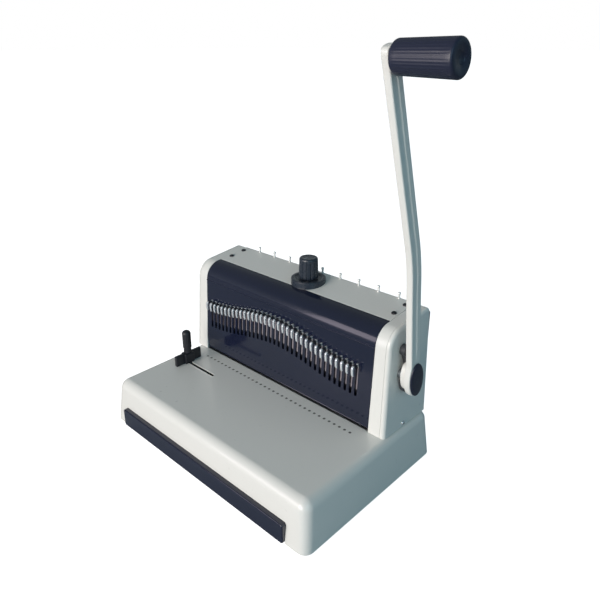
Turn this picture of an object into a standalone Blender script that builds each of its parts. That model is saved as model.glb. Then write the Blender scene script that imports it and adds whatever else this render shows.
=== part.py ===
"""Manual comb binding machine: a lever punch with a comb closer, on a hollow base.

Everything is placed in the machine's working frame: X to the right along the base's front edge, Y to the
back, Z up, with zero at the base's front left bottom corner. One empty then shifts the whole machine so
that the centre of its footprint is at the world's origin. Lengths are in metres.
"""

import math

import bmesh
import bpy
from mathutils import Matrix, Vector

MM = 0.001
GAP = 0.3 * MM  # left between pieces that touch
SOFT_ANGLE = math.radians(35)

# Footprint, used to centre the machine on the origin
MACHINE_SPAN_X = (0.0, 452.0 * MM)
MACHINE_SPAN_Y = (-3.5 * MM, 250.5 * MM)

# Base
BASE_WIDTH = 377.4 * MM
BASE_DEPTH = 248.9 * MM
BASE_TOP = 64.4 * MM
BASE_UNDERSIDE = 1.8 * MM
BASE_DRAFT = (5.25 * MM, 6.65 * MM, 6.5 * MM)  # sides, front, rear
BASE_WALL = 3.0 * MM
BASE_CORNER = 12.0 * MM
BASE_EDGE = 9.0 * MM
FOOT_RADIUS = 9.0 * MM
FOOT_HEIGHT = 3.0 * MM
BOTTOM_PLATE = 1.5 * MM
DRAWER_LEFT = 27.5 * MM
DRAWER_RIGHT = 346.0 * MM
DRAWER_LOW = 2.5 * MM
DRAWER_TOP = 28.5 * MM
DRAWER_FRONT = -3.5 * MM
DRAWER_DEPTH = 182.0 * MM

# Tower
TOWER_LEFT = 1.9 * MM
TOWER_RIGHT = 366.1 * MM
COVER_WIDTH = 24.5 * MM
COVER_WALL = 3.0 * MM
COVER_LEAN = 4.0 * MM  # how far the outer faces lean in at the top
TOWER_FRONT = 151.7 * MM
FRONT_LEAN = 0.06
TOP_START = 187.0 * MM
TOP_HEIGHT = 205.0 * MM  # at TOP_START
TOP_SLOPE = 0.11
TOWER_REAR = 243.0 * MM
FRONT_ROUND = 25.0 * MM
REAR_ROUND = 4.0 * MM
SHEET = 2.0 * MM
PANEL_SET_BACK = 0.5 * MM
PANEL_TOP = 178.0 * MM
PANEL_CREASE = 86.0 * MM
THROAT_TOP = 69.2 * MM
FRAME_THICKNESS = 5.0 * MM
FRAME_LEFT = 19.0 * MM
FRAME_RIGHT = 344.0 * MM

# Punch row
PINS = 34
PITCH = 279.4 * MM / (PINS - 1)
FIRST_PIN = 38.5 * MM
PIN = 3.0 * MM
PIN_Y = 166.5 * MM
PIN_TIP = 70.2 * MM
RAIL_LOW = 100.0 * MM
RAIL_HIGH = 108.0 * MM
FINGER_TOP = 149.5 * MM  # of the fingers at the ends of the row
FINGER_TIP = 136.0 * MM
FINGER_TAIL = 112.0 * MM  # foot of the shank behind the panel
FINGER_ARCH = 18.0 * MM  # how much higher the middle fingers are
FINGER_FRONT = 146.0 * MM
TRAVEL = 13.7 * MM
SLOT = 4.2 * MM

# Drive
SHAFT_Y = 182.0 * MM
SHAFT_Z = 145.0 * MM
SHAFT_RADIUS = 6.0 * MM
PINION_TEETH = 10
PINION_RADIUS = 10.0 * MM
ADDENDUM = 1.4 * MM
DEDENDUM = 2.0 * MM
TOOTH = 2.3 * MM  # thickness at the pitch line, with backlash
PINION_SPANS = ((27.5 * MM, 34.5 * MM), (333.5 * MM, 340.5 * MM))
CAM_SPANS = ((58.0 * MM, 65.0 * MM), (303.0 * MM, 310.0 * MM))
CAM_BASE = 11.5 * MM
CAM_RISE = 4.0 * MM  # per radian

# Handle
ARM_OUTER = 385.8 * MM
ARM_INNER = 377.3 * MM
ARM_HALF = 9.3 * MM
BOSS_INNER = 370.5 * MM
HUB = (14.2 * MM, 23.5 * MM)
HUB_TILT = math.radians(7.0)
LOBE_UPPER = (184.5 * MM, 176.0 * MM)
LOBE_LOWER = (195.0 * MM, 132.0 * MM)
ARM_BEND = (165.0 * MM, 297.0 * MM)
GRIP_Y = 99.0 * MM
GRIP_Z = 503.0 * MM
GRIP_START = 390.3 * MM
GRIP_END = 452.0 * MM

# Closer behind the tower
REAR_SPAN = (8.0 * MM, 358.0 * MM)
REAR_FACE = 250.5 * MM
REAR_INNER = 243.3 * MM
BAR_LOW, BAR_TOP = 100.0 * MM, 118.0 * MM
ANVIL_LOW, ANVIL_TOP = 130.5 * MM, 145.0 * MM
HOOD_LOW, HOOD_TOP = 150.0 * MM, 203.0 * MM

# Closer adjuster
KNOB_X = 191.0 * MM
KNOB_Y = 207.0 * MM
BEZEL_RADIUS = 24.0 * MM
BEZEL_TOP = 214.4 * MM
KNOB_RADIUS = 13.5 * MM
KNOB_TOP = 243.5 * MM
SPINDLE_RADIUS = 4.0 * MM

# Side guide
GUIDE_Y = 105.5 * MM
GUIDE_X = 38.5 * MM
GUIDE_SLOT = (35.0 * MM, 98.5 * MM, 5.0 * MM)

# Small pieces
PEGS = 9
PEG_PITCH = 32.3 * MM
FIRST_PEG = 60.0 * MM
PEG_Y = 238.5 * MM
SCREWS = ((33.0 * MM, 204.0 * MM), (33.0 * MM, 228.5 * MM), (335.0 * MM, 204.0 * MM), (335.0 * MM, 228.5 * MM))
SIDE_SCREW = (192.0 * MM, 69.5 * MM)

# Where a flat outline's own X, Y and thickness go for each plane that it can lie in
PLANES = {
    "YZ": Matrix(((0, 0, 1, 0), (1, 0, 0, 0), (0, 1, 0, 0), (0, 0, 0, 1))),
    "XZ": Matrix(((1, 0, 0, 0), (0, 0, -1, 0), (0, 1, 0, 0), (0, 0, 0, 1))),
    "XY": Matrix.Identity(4),
}


# ---------------------------------------------------------------------------------------- scene and materials

def clear_scene():
    for obj in list(bpy.data.objects):
        bpy.data.objects.remove(obj)


def new_collection(name):
    collection = bpy.data.collections.new(name)
    bpy.context.scene.collection.children.link(collection)
    return collection


def new_material(name, colour, roughness, metallic=0.0):
    material = bpy.data.materials.new(name)
    material.use_nodes = True
    shader = material.node_tree.nodes["Principled BSDF"]
    shader.inputs["Base Color"].default_value = (*colour, 1.0)
    shader.inputs["Roughness"].default_value = roughness
    shader.inputs["Metallic"].default_value = metallic
    return material


clear_scene()
MACHINE = new_collection("comb_binding_machine")
CUTTERS = new_collection("cutters")
CREAM = new_material("cream_paint", (0.72, 0.69, 0.64), 0.35)
NAVY = new_material("navy_plastic", (0.018, 0.022, 0.06), 0.25)
BLACK = new_material("black_plastic", (0.012, 0.012, 0.014), 0.4)
STEEL = new_material("ground_steel", (0.55, 0.55, 0.56), 0.3, 1.0)
CHROME = new_material("bright_chrome", (0.8, 0.8, 0.82), 0.12, 1.0)
RUBBER = new_material("rubber", (0.02, 0.02, 0.02), 0.8)
BRONZE = new_material("bush_bronze", (0.55, 0.36, 0.16), 0.35, 1.0)

ORIGIN = bpy.data.objects.new("machine_frame", None)
MACHINE.objects.link(ORIGIN)
ORIGIN.location = (-sum(MACHINE_SPAN_X) / 2, -sum(MACHINE_SPAN_Y) / 2, 0)


# ------------------------------------------------------------------------------------------------ mesh tools

def place(name, mesh, material, origin=(0, 0, 0)):
    """Adds a node whose origin is at the given point of the machine, with the mesh where it was drawn.

    Faces that turn by less than SOFT_ANGLE are shaded as one round surface.
    """
    mesh.name = name
    mesh.shade_smooth()
    mesh.set_sharp_from_angle(angle=SOFT_ANGLE)
    mesh.transform(Matrix.Translation(-Vector(origin)))
    obj = bpy.data.objects.new(name, mesh)
    obj.location = origin
    obj.parent = ORIGIN
    mesh.materials.clear()
    mesh.materials.append(material)
    MACHINE.objects.link(obj)
    return obj


def helper(name, mesh):
    """Adds a cutter or a piece to join, which isn't part of the machine."""
    obj = bpy.data.objects.new(name, mesh)
    obj.parent = ORIGIN
    obj.hide_render = True
    obj.display_type = "WIRE"
    CUTTERS.objects.link(obj)
    return obj


def combine(obj, other, operation):
    modifier = obj.modifiers.new(f"{operation.lower()}_{other.name}", "BOOLEAN")
    modifier.operation = operation
    modifier.object = other


def cut(obj, *meshes):
    for number, mesh in enumerate(meshes):
        combine(obj, helper(f"{obj.name}_cut_{number}", mesh), "DIFFERENCE")


def join(obj, *meshes):
    for number, mesh in enumerate(meshes):
        combine(obj, helper(f"{obj.name}_add_{number}", mesh), "UNION")


def finish_mesh(bm):
    bmesh.ops.recalc_face_normals(bm, faces=bm.faces)
    mesh = bpy.data.meshes.new("mesh")
    bm.to_mesh(mesh)
    bm.free()
    return mesh


def gather(meshes):
    """One mesh that holds several separate ones."""
    bm = bmesh.new()
    for mesh in meshes:
        bm.from_mesh(mesh)
    return finish_mesh(bm)


def box(low, high, bevel=0.0, segments=2):
    bm = bmesh.new()
    size = Vector(high) - Vector(low)
    middle = (Vector(high) + Vector(low)) / 2
    bmesh.ops.create_cube(bm, size=1.0, matrix=Matrix.Translation(middle) @ Matrix.Diagonal((*size, 1)))
    if bevel:
        bmesh.ops.bevel(bm, geom=bm.edges[:], offset=bevel, segments=segments, profile=0.5, affect="EDGES")
    return finish_mesh(bm)


def rounded(corners, steps=5):
    """Outline through corners (u, v, radius), with an arc at each corner whose radius isn't 0."""
    points = []
    for index, (u, v, radius) in enumerate(corners):
        corner = Vector((u, v))
        if not radius:
            points.append(corner)
            continue
        before = (Vector(corners[index - 1][:2]) - corner).normalized()
        after = (Vector(corners[(index + 1) % len(corners)][:2]) - corner).normalized()
        half = before.angle(after) / 2
        centre = corner + (before + after).normalized() * (radius / math.sin(half))
        start = corner + before * (radius / math.tan(half)) - centre
        turn = start.angle_signed(corner + after * (radius / math.tan(half)) - centre)
        for step in range(steps + 1):
            arm = start.copy()
            arm.rotate(Matrix.Rotation(-turn * step / steps, 2))
            points.append(centre + arm)
    return [(point.x, point.y) for point in points]


def circle(u, v, radius, sides=24, phase=0.0):
    turns = [2 * math.pi * (k + phase) / sides for k in range(sides)]
    return [(u + radius * math.cos(turn), v + radius * math.sin(turn)) for turn in turns]


def oval(u, v, half_u, half_v, tilt=0.0, sides=32):
    points = []
    for x, y in circle(0, 0, 1, sides):
        x, y = x * half_u, y * half_v
        points.append((u + x * math.cos(tilt) - y * math.sin(tilt), v + x * math.sin(tilt) + y * math.cos(tilt)))
    return points


def flat(outline, low, high, plane, holes=()):
    """Mesh of a flat outline in the YZ, XZ or XY plane, which reaches from low to high across that plane."""
    curve = bpy.data.curves.new("outline", "CURVE")
    curve.dimensions = "2D"
    curve.fill_mode = "BOTH"
    curve.extrude = (high - low) / 2
    for loop in (outline, *holes):
        spline = curve.splines.new("POLY")
        spline.points.add(len(loop) - 1)
        for point, (u, v) in zip(spline.points, loop):
            point.co = (u, v, 0, 1)
        spline.use_cyclic_u = True
    drawing = bpy.data.objects.new("outline", curve)
    bpy.context.scene.collection.objects.link(drawing)
    graph = bpy.context.evaluated_depsgraph_get()
    mesh = bpy.data.meshes.new_from_object(drawing.evaluated_get(graph))
    bpy.data.objects.remove(drawing)
    across = (low + high) / 2 * (-1 if plane == "XZ" else 1)
    mesh.transform(PLANES[plane] @ Matrix.Translation((0, 0, across)))
    bm = bmesh.new()
    bm.from_mesh(mesh)
    bmesh.ops.remove_doubles(bm, verts=bm.verts, dist=1e-6)
    bmesh.ops.dissolve_limit(bm, angle_limit=0.01, verts=bm.verts, edges=bm.edges)
    return finish_mesh(bm)


def bevel_edges(mesh, wanted, width, segments=2):
    """Rounds the edges whose two ends both satisfy the test."""
    bm = bmesh.new()
    bm.from_mesh(mesh)
    edges = [edge for edge in bm.edges if all(wanted(vert.co) for vert in edge.verts)]
    bmesh.ops.bevel(bm, geom=edges, offset=width, segments=segments, profile=0.5, affect="EDGES")
    return finish_mesh(bm)


def turned_z(profile, centre, steps=24):
    """Mesh of a profile of (radius, height), from the top down its outer side, turned about a vertical axis."""
    bm = bmesh.new()
    points = [bm.verts.new((radius, 0, height)) for radius, height in profile]
    edges = [bm.edges.new(pair) for pair in zip(points, points[1:])]
    bmesh.ops.spin(bm, geom=points + edges, cent=(0, 0, 0), axis=(0, 0, 1), angle=2 * math.pi, steps=steps)
    bmesh.ops.remove_doubles(bm, verts=bm.verts, dist=1e-6)
    bmesh.ops.translate(bm, verts=bm.verts, vec=(*centre, 0))
    return finish_mesh(bm)


def along_x(mesh, y, z):
    """Lays a mesh that stands on the Z axis along X, on the line through (y, z)."""
    mesh.transform(Matrix.Translation((0, y, z)) @ Matrix.Rotation(math.pi / 2, 4, "Y"))
    return mesh


# -------------------------------------------------------------------------------------------- shared outlines

def tower_front(z):
    return TOWER_FRONT + FRONT_LEAN * (z - BASE_TOP)


def tower_top(y):
    return TOP_HEIGHT + TOP_SLOPE * (y - TOP_START)


def side_outline(inset, foot):
    """The tower from the side: leaning front and rear, sloping top, two round corners."""
    front_top = (tower_front(TOP_HEIGHT) + inset, tower_top(tower_front(TOP_HEIGHT)) - inset)
    rear_top = (TOWER_REAR - inset, tower_top(TOWER_REAR) - inset)
    return rounded(
        (
            (tower_front(foot) + inset, foot, 0),
            (*front_top, FRONT_ROUND - inset),
            (*rear_top, REAR_ROUND - inset),
            (TOWER_REAR - inset, foot, 0),
        ),
        7,
    )


def arch(x):
    """How much higher than the row's ends the fingers are at x: one smooth wave over the row."""
    along = (x - FIRST_PIN) / (PITCH * (PINS - 1))
    if not 0 < along < 1:
        return 0.0
    return FINGER_ARCH * (1 - math.cos(2 * math.pi * along)) / 2


def pin_positions():
    return [FIRST_PIN + PITCH * number for number in range(PINS)]


# ------------------------------------------------------------------------------------------------------ base

def make_base_cover():
    sides, front, rear = BASE_DRAFT
    bm = bmesh.new()
    size = (BASE_WIDTH, BASE_DEPTH, BASE_TOP - BASE_UNDERSIDE)
    middle = (BASE_WIDTH / 2, BASE_DEPTH / 2, (BASE_TOP + BASE_UNDERSIDE) / 2)
    bmesh.ops.create_cube(bm, size=1.0, matrix=Matrix.Translation(middle) @ Matrix.Diagonal((*size, 1)))
    for vert in bm.verts:
        if vert.co.z > middle[2]:
            vert.co.x += sides if vert.co.x < middle[0] else -sides
            vert.co.y += front if vert.co.y < middle[1] else -rear
    upright = [edge for edge in bm.edges if abs(edge.verts[0].co.z - edge.verts[1].co.z) > 0.01]
    bmesh.ops.bevel(bm, geom=upright, offset=BASE_CORNER, segments=4, profile=0.5, affect="EDGES")
    rim = [edge for edge in bm.edges if all(vert.co.z > BASE_TOP - 1e-6 for vert in edge.verts)]
    bmesh.ops.bevel(bm, geom=rim, offset=BASE_EDGE, segments=3, profile=0.5, affect="EDGES")
    floor = [face for face in bm.faces if face.normal.z < -0.9]
    bmesh.ops.delete(bm, geom=floor, context="FACES")
    cover = place("base_cover", finish_mesh(bm), CREAM)
    shell = cover.modifiers.new("wall", "SOLIDIFY")
    shell.thickness = BASE_WALL
    shell.offset = -1
    shell.use_even_offset = True
    door = rounded(
        (
            (DRAWER_LEFT - GAP, -0.01, 0),
            (DRAWER_RIGHT + GAP, -0.01, 0),
            (DRAWER_RIGHT + GAP, DRAWER_TOP + GAP, 3 * MM),
            (DRAWER_LEFT - GAP, DRAWER_TOP + GAP, 3 * MM),
        ),
        3,
    )
    left, right, width = GUIDE_SLOT
    slot = rounded(
        (
            (left, GUIDE_Y - width / 2, width / 2 - 0.01 * MM),
            (right, GUIDE_Y - width / 2, width / 2 - 0.01 * MM),
            (right, GUIDE_Y + width / 2, width / 2 - 0.01 * MM),
            (left, GUIDE_Y + width / 2, width / 2 - 0.01 * MM),
        ),
        3,
    )
    cut(
        cover,
        flat(door, -0.02, 0.02, "XZ"),
        box((FRAME_LEFT - 0.5 * MM, 153.7 * MM, 0.05), (FRAME_RIGHT + 5.5 * MM, 236 * MM, 0.08)),
        flat(slot, 0.05, 0.08, "XY"),
    )


def make_bottom():
    inner = 4.2 * MM
    low, high = FOOT_HEIGHT + GAP, FOOT_HEIGHT + GAP + BOTTOM_PLATE
    corner = BASE_CORNER - inner + 1 * MM
    outline = rounded(
        (
            (inner, inner, corner),
            (BASE_WIDTH - inner, inner, corner),
            (BASE_WIDTH - inner, BASE_DEPTH - inner, corner),
            (inner, BASE_DEPTH - inner, corner),
        ),
        4,
    )
    # The plate's front edge is notched, so that the drawer's front can sit before it.
    plate = place("bottom_plate", flat(outline, low, high, "XY"), STEEL)
    cut(plate, box((DRAWER_LEFT - 1 * MM, -0.01, 0), (DRAWER_RIGHT + 1 * MM, 5.5 * MM, 0.01)))
    for side, x in (("left", 26 * MM), ("right", BASE_WIDTH - 26 * MM)):
        for end, y in (("front", 26 * MM), ("rear", BASE_DEPTH - 26 * MM)):
            profile = [
                (0, FOOT_HEIGHT),
                (FOOT_RADIUS, FOOT_HEIGHT),
                (FOOT_RADIUS - 1 * MM, 0),
                (0, 0),
            ]
            place(f"foot_{end}_{side}", turned_z(profile, (x, y), 16), RUBBER, (x, y, 0))


def make_drawer():
    """Open tray that catches the punched chips, with a thick front that stands proud of the base."""
    corner = 3.0 * MM
    outline = rounded(
        (
            (DRAWER_LEFT, DRAWER_LOW, corner),
            (DRAWER_RIGHT, DRAWER_LOW, corner),
            (DRAWER_RIGHT, DRAWER_TOP, corner),
            (DRAWER_LEFT, DRAWER_TOP, corner),
        ),
        3,
    )
    front = flat(outline, DRAWER_FRONT, 4.5 * MM, "XZ")
    front = bevel_edges(front, lambda co: co.y < DRAWER_FRONT + 1e-6, 1.5 * MM)
    drawer = place("chip_drawer", front, NAVY, (0, DRAWER_FRONT, DRAWER_LOW))
    low = FOOT_HEIGHT + 2 * GAP + BOTTOM_PLATE
    left, right, top = DRAWER_LEFT + 4.5 * MM, DRAWER_RIGHT - 5 * MM, 26 * MM
    join(drawer, box((left, 4 * MM, low), (right, DRAWER_DEPTH, top)))
    wall = 1.8 * MM
    cut(drawer, box((left + wall, 6.5 * MM, low + wall), (right - wall, DRAWER_DEPTH - wall, 0.05)))


# ----------------------------------------------------------------------------------------------------- tower

def make_tower_shell():
    make_side_covers()
    make_hood_and_panel()
    make_top_cover()
    make_rear_wall()


def make_side_covers():
    for name, outer, side in (("left_side_cover", TOWER_LEFT, -1), ("right_side_cover", TOWER_RIGHT, 1)):
        foot = BASE_TOP + GAP
        inner = outer - side * COVER_WIDTH
        mesh = flat(side_outline(0, foot), min(outer, inner), max(outer, inner), "YZ")
        mesh = bevel_edges(mesh, lambda co, face=outer: abs(co.x - face) < 1e-6, 4.5 * MM, 3)
        for vert in mesh.vertices:
            share = abs(vert.co.x - inner) / COVER_WIDTH
            vert.co.x -= side * COVER_LEAN * share * (vert.co.z - foot) / (TOP_HEIGHT - foot)
        cover = place(name, mesh, CREAM)
        pocket_end = outer - side * 8.5 * MM
        pocket_mouth = inner - side * 0.01
        low, high = min(pocket_end, pocket_mouth), max(pocket_end, pocket_mouth)
        cut(cover, flat(side_outline(COVER_WALL, foot - 0.01), low, high, "YZ"))
        if side > 0:
            hole = circle(SHAFT_Y, SHAFT_Z, SHAFT_RADIUS + 2 * GAP)
            cut(cover, flat(hole, outer - 0.02, outer + 0.02, "YZ"))
            screw = circle(*SIDE_SCREW, 1.9 * MM, 12)
            combine(cover, helper("side_screw_hole", flat(screw, outer - 0.02, outer + 0.02, "YZ")), "DIFFERENCE")


def make_hood_and_panel():
    left = TOWER_LEFT + COVER_WIDTH + GAP
    right = TOWER_RIGHT - COVER_WIDTH - GAP
    outer = side_outline(0, BASE_TOP)
    inner = side_outline(SHEET, BASE_TOP)
    # The front corner's arc is points 1 to 8 of each outline; the hood adds a short skirt and a short roof.
    lip = PANEL_TOP + GAP
    roof = 187.0 * MM
    hood = [(tower_front(lip), lip), *outer[1:9], (roof, tower_top(roof))]
    hood += [(roof, tower_top(roof) - SHEET), *reversed(inner[1:9])]
    hood += [(tower_front(lip) + SHEET, lip)]
    place("front_hood", flat(hood, left, right, "YZ"), NAVY)

    def panel_front(z):
        return tower_front(z) + PANEL_SET_BACK

    throat_lip = 154.5 * MM
    section = [
        (throat_lip, THROAT_TOP),
        (panel_front(PANEL_CREASE), PANEL_CREASE),
        (panel_front(PANEL_TOP), PANEL_TOP),
        (panel_front(PANEL_TOP) + SHEET, PANEL_TOP),
        (panel_front(PANEL_CREASE) + SHEET, PANEL_CREASE),
        (throat_lip + SHEET, THROAT_TOP),
    ]
    panel = place("front_panel", flat(section, left, right, "YZ"), NAVY)
    slots = []
    for x in pin_positions():
        low, high = 105 * MM + arch(x), FINGER_TOP + 1.2 * MM + arch(x)
        slots.append(box((x - SLOT / 2, 0.14, low), (x + SLOT / 2, 0.18, high)))
    cut(panel, gather(slots))


def make_top_cover():
    left = TOWER_LEFT + COVER_WIDTH + GAP
    right = TOWER_RIGHT - COVER_WIDTH - GAP
    start, end = 187.3 * MM, TOWER_REAR
    sheet = 1.6 * MM
    skirt = HOOD_TOP + GAP
    section = rounded(
        (
            (start, tower_top(start), 0),
            (end, tower_top(end), 3 * MM),
            (end, skirt, 0),
            (end - sheet, skirt, 0),
            (end - sheet, tower_top(end) - sheet, 1.4 * MM),
            (start, tower_top(start) - sheet, 0),
        ),
        3,
    )
    cover = place("top_cover", flat(section, left, right, "YZ"), CREAM)
    holes = [flat(circle(x, y, 1.9 * MM, 12), 0.19, 0.22, "XY") for x, y in SCREWS]
    holes.append(flat(circle(KNOB_X, KNOB_Y, SPINDLE_RADIUS + 1 * MM, 16), 0.19, 0.22, "XY"))
    holes += [flat(circle(FIRST_PEG + PEG_PITCH * n, PEG_Y, 1.5 * MM, 8), 0.19, 0.24, "XY") for n in range(PEGS)]
    cut(cover, gather(holes))


def make_rear_wall():
    left = TOWER_LEFT + COVER_WIDTH + GAP
    right = TOWER_RIGHT - COVER_WIDTH - GAP
    foot = BASE_TOP + GAP
    wall = place("rear_wall", box((left, TOWER_REAR - 1.5 * MM, foot), (right, TOWER_REAR, HOOD_TOP)), CREAM)
    windows = [box((low - 2 * MM, 0.22, 96 * MM), (high + 2 * MM, 0.26, 128 * MM)) for low, high in CAM_SPANS]
    windows.append(box((KNOB_X - 22 * MM, 0.22, 122 * MM), (KNOB_X + 22 * MM, 0.26, 166 * MM)))
    cut(wall, gather(windows))
    rear_cover = rounded(
        (
            (REAR_INNER, HOOD_LOW, 0),
            (REAR_FACE, HOOD_LOW, 1.5 * MM),
            (REAR_FACE, HOOD_TOP, 4 * MM),
            (REAR_INNER, HOOD_TOP, 0),
        ),
        3,
    )
    place("rear_cover", flat(rear_cover, *REAR_SPAN, "YZ"), NAVY)


def make_frames():
    """Steel side frames that carry the shaft, with a bronze bush in each."""
    outline = rounded(
        (
            (163 * MM, 5.4 * MM, 4 * MM),
            (163 * MM, 176 * MM, 14 * MM),
            (178 * MM, 193 * MM, 10 * MM),
            (234 * MM, 193 * MM, 10 * MM),
            (234 * MM, 5.4 * MM, 4 * MM),
        ),
        3,
    )
    bore = circle(SHAFT_Y, SHAFT_Z, 10 * MM + GAP)
    for side, low in (("left", FRAME_LEFT), ("right", FRAME_RIGHT)):
        high = low + FRAME_THICKNESS
        place(f"{side}_frame", flat(outline, low, high, "YZ", [bore]), STEEL)
        ring = flat(circle(SHAFT_Y, SHAFT_Z, 10 * MM), low, high, "YZ", [circle(SHAFT_Y, SHAFT_Z, SHAFT_RADIUS + GAP)])
        place(f"{side}_bush", ring, BRONZE, (low, SHAFT_Y, SHAFT_Z))


# ----------------------------------------------------------------------------------------------------- punch

def make_die_set():
    front, rear = 157.2 * MM, 175.5 * MM
    left, right = FRAME_LEFT + FRAME_THICKNESS + GAP, FRAME_RIGHT - GAP
    hole = PIN / 2 + GAP
    holes = [
        [(x - hole, PIN_Y - hole), (x + hole, PIN_Y - hole), (x + hole, PIN_Y + hole), (x - hole, PIN_Y + hole)]
        for x in pin_positions()
    ]
    outline = [(left, front), (right, front), (right, rear), (left, rear)]
    die = [(left, 154 * MM), (right, 154 * MM), (right, rear), (left, rear)]
    place("die_plate", flat(die, 56 * MM, BASE_TOP - 0.2 * MM, "XY", holes), STEEL)
    place("pin_guide_plate", flat(outline, THROAT_TOP, 77 * MM, "XY", holes), STEEL)
    stop = box((left, PIN_Y + 4 * MM, BASE_TOP + GAP), (right, rear - 1 * MM, THROAT_TOP - GAP))
    place("paper_stop", stop, STEEL)


def make_punch_pins():
    """One rail with a square pin at each punch position."""
    half = PIN / 2
    start, end = FIRST_PIN - 5 * MM, FIRST_PIN + PITCH * (PINS - 1) + 5 * MM
    outline = [(end, RAIL_HIGH), (start, RAIL_HIGH), (start, RAIL_LOW)]
    for x in pin_positions():
        outline += [(x - half, RAIL_LOW), (x - half, PIN_TIP), (x + half, PIN_TIP), (x + half, RAIL_LOW)]
    outline.append((end, RAIL_LOW))
    place("punch_pins", flat(outline, PIN_Y - half, PIN_Y + half, "XZ"), STEEL, (0, PIN_Y, PIN_TIP))


def rack_teeth():
    """Teeth that stand out of the beam's rear face, one centred on the shaft's height."""
    spacing = math.pi * 2 * PINION_RADIUS / PINION_TEETH
    pitch_line = SHAFT_Y - PINION_RADIUS
    slope = math.tan(math.radians(20))
    teeth = []
    for number in range(-1, 4):
        z = SHAFT_Z + number * spacing
        root, tip = TOOTH / 2 + DEDENDUM * slope, TOOTH / 2 - ADDENDUM * slope
        low_y, high_y = pitch_line - DEDENDUM - 1.0 * MM, pitch_line + ADDENDUM
        teeth.append([(low_y, z - root), (pitch_line - DEDENDUM, z - root), (high_y, z - tip),
                      (high_y, z + tip), (pitch_line - DEDENDUM, z + root), (low_y, z + root)])
    return teeth


def make_punch_beam():
    """Deep beam with an arched upper edge and a rack behind each end."""
    left, right = 28.0 * MM, 340.0 * MM
    front, rear = PIN_Y - 2.6 * MM, SHAFT_Y - PINION_RADIUS - DEDENDUM
    tower, low = 170 * MM, RAIL_HIGH + GAP
    upper = [(right, tower), (right - 11 * MM, tower)]
    steps = 24
    for step in range(steps + 1):
        x = right - 12 * MM - (right - left - 24 * MM) * step / steps
        upper.append((x, FINGER_TOP + 8.5 * MM + arch(x)))
    upper += [(left + 11 * MM, tower), (left, tower)]
    outline = [(left, low), (right, low), *upper]
    beam = place("punch_beam", flat(outline, front, rear, "XZ"), STEEL, (0, PIN_Y, low))
    racks = []
    for start in (left, right - 10 * MM):
        racks += [flat(tooth, start, start + 10 * MM, "YZ") for tooth in rack_teeth()]
    combine(beam, helper("rack_teeth", gather(racks)), "UNION")


def make_comb_fingers():
    """Arched rail behind the panel, with a hook through each of the panel's slots that hangs down in front."""
    rear = PIN_Y - 2.9 * MM
    front = rear - 2.0 * MM
    start, end = FIRST_PIN - 5 * MM, FIRST_PIN + PITCH * (PINS - 1) + 5 * MM
    steps = 32
    xs = [start + (end - start) * step / steps for step in range(steps + 1)]
    outline = [(x, FINGER_TOP + 1.5 * MM + arch(x)) for x in xs]
    outline += [(x, FINGER_TOP + 9.5 * MM + arch(x)) for x in reversed(xs)]
    comb = place("comb_fingers", flat(outline, front, rear, "XZ"), CHROME, (0, rear, FINGER_TOP))
    bar = FINGER_FRONT + 2.5 * MM
    section = (
        (rear - 0.3 * MM, FINGER_TAIL),
        (rear - 0.3 * MM, FINGER_TOP + 5 * MM),
        (front + 0.2 * MM, FINGER_TOP + 5 * MM),
        (front + 0.2 * MM, FINGER_TOP),
        (FINGER_FRONT + 1.6 * MM, FINGER_TOP),
        (FINGER_FRONT + 0.3 * MM, FINGER_TOP - 1.6 * MM),
        (FINGER_FRONT, FINGER_TOP - 4 * MM),
        (FINGER_FRONT, FINGER_TIP + 3.5 * MM),
        (FINGER_FRONT + 0.8 * MM, FINGER_TIP + 0.6 * MM),
        (FINGER_FRONT + 1.8 * MM, FINGER_TIP),
        (bar, FINGER_TIP + 1 * MM),
        (bar, FINGER_TOP - 4.2 * MM),
        (bar + 1.2 * MM, FINGER_TOP - 3.2 * MM),
        (front + 0.2 * MM, FINGER_TOP - 3.2 * MM),
        (front + 0.2 * MM, FINGER_TAIL),
    )
    hooks = []
    for x in pin_positions():
        outline = [(y, z + arch(x)) for y, z in section]
        hooks.append(flat(outline, x - PIN / 2, x + PIN / 2, "YZ"))
    combine(comb, helper("finger_hooks", gather(hooks)), "UNION")


def make_return_springs():
    turns, radius, wire = 5, 3.6 * MM, 0.7 * MM
    low, high = 77 * MM + GAP + wire, RAIL_HIGH - wire
    for side, x in (("left", 28.6 * MM), ("right", 332.0 * MM)):
        curve = bpy.data.curves.new(f"return_spring_{side}", "CURVE")
        curve.dimensions = "3D"
        curve.bevel_depth = wire
        curve.bevel_resolution = 1
        curve.use_fill_caps = True
        spline = curve.splines.new("POLY")
        count = turns * 10
        spline.points.add(count)
        for number, point in enumerate(spline.points):
            turn = 2 * math.pi * number / 10
            height = low + (high - low) * number / count
            point.co = (radius * math.cos(turn), radius * math.sin(turn), height - low, 1)
        curve.materials.append(STEEL)
        spring = bpy.data.objects.new(f"return_spring_{side}", curve)
        spring.location = (x, PIN_Y, low)
        spring.parent = ORIGIN
        MACHINE.objects.link(spring)


# ----------------------------------------------------------------------------------------------------- drive

def pinion_outline():
    """Ten teeth with straight flanks, with a gap facing the rack."""
    points = []
    step = 2 * math.pi / PINION_TEETH
    root, tip = PINION_RADIUS - DEDENDUM, PINION_RADIUS + ADDENDUM
    half_root, half_pitch, half_tip = 0.19, TOOTH / 2 / PINION_RADIUS, 0.055
    for tooth in range(PINION_TEETH):
        middle = math.pi + (tooth + 0.5) * step
        for angle, radius in (
            (-half_root, root),
            (-half_pitch, PINION_RADIUS),
            (-half_tip, tip),
            (half_tip, tip),
            (half_pitch, PINION_RADIUS),
            (half_root, root),
        ):
            turn = middle + angle
            points.append((SHAFT_Y + radius * math.cos(turn), SHAFT_Z + radius * math.sin(turn)))
    return points


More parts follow.
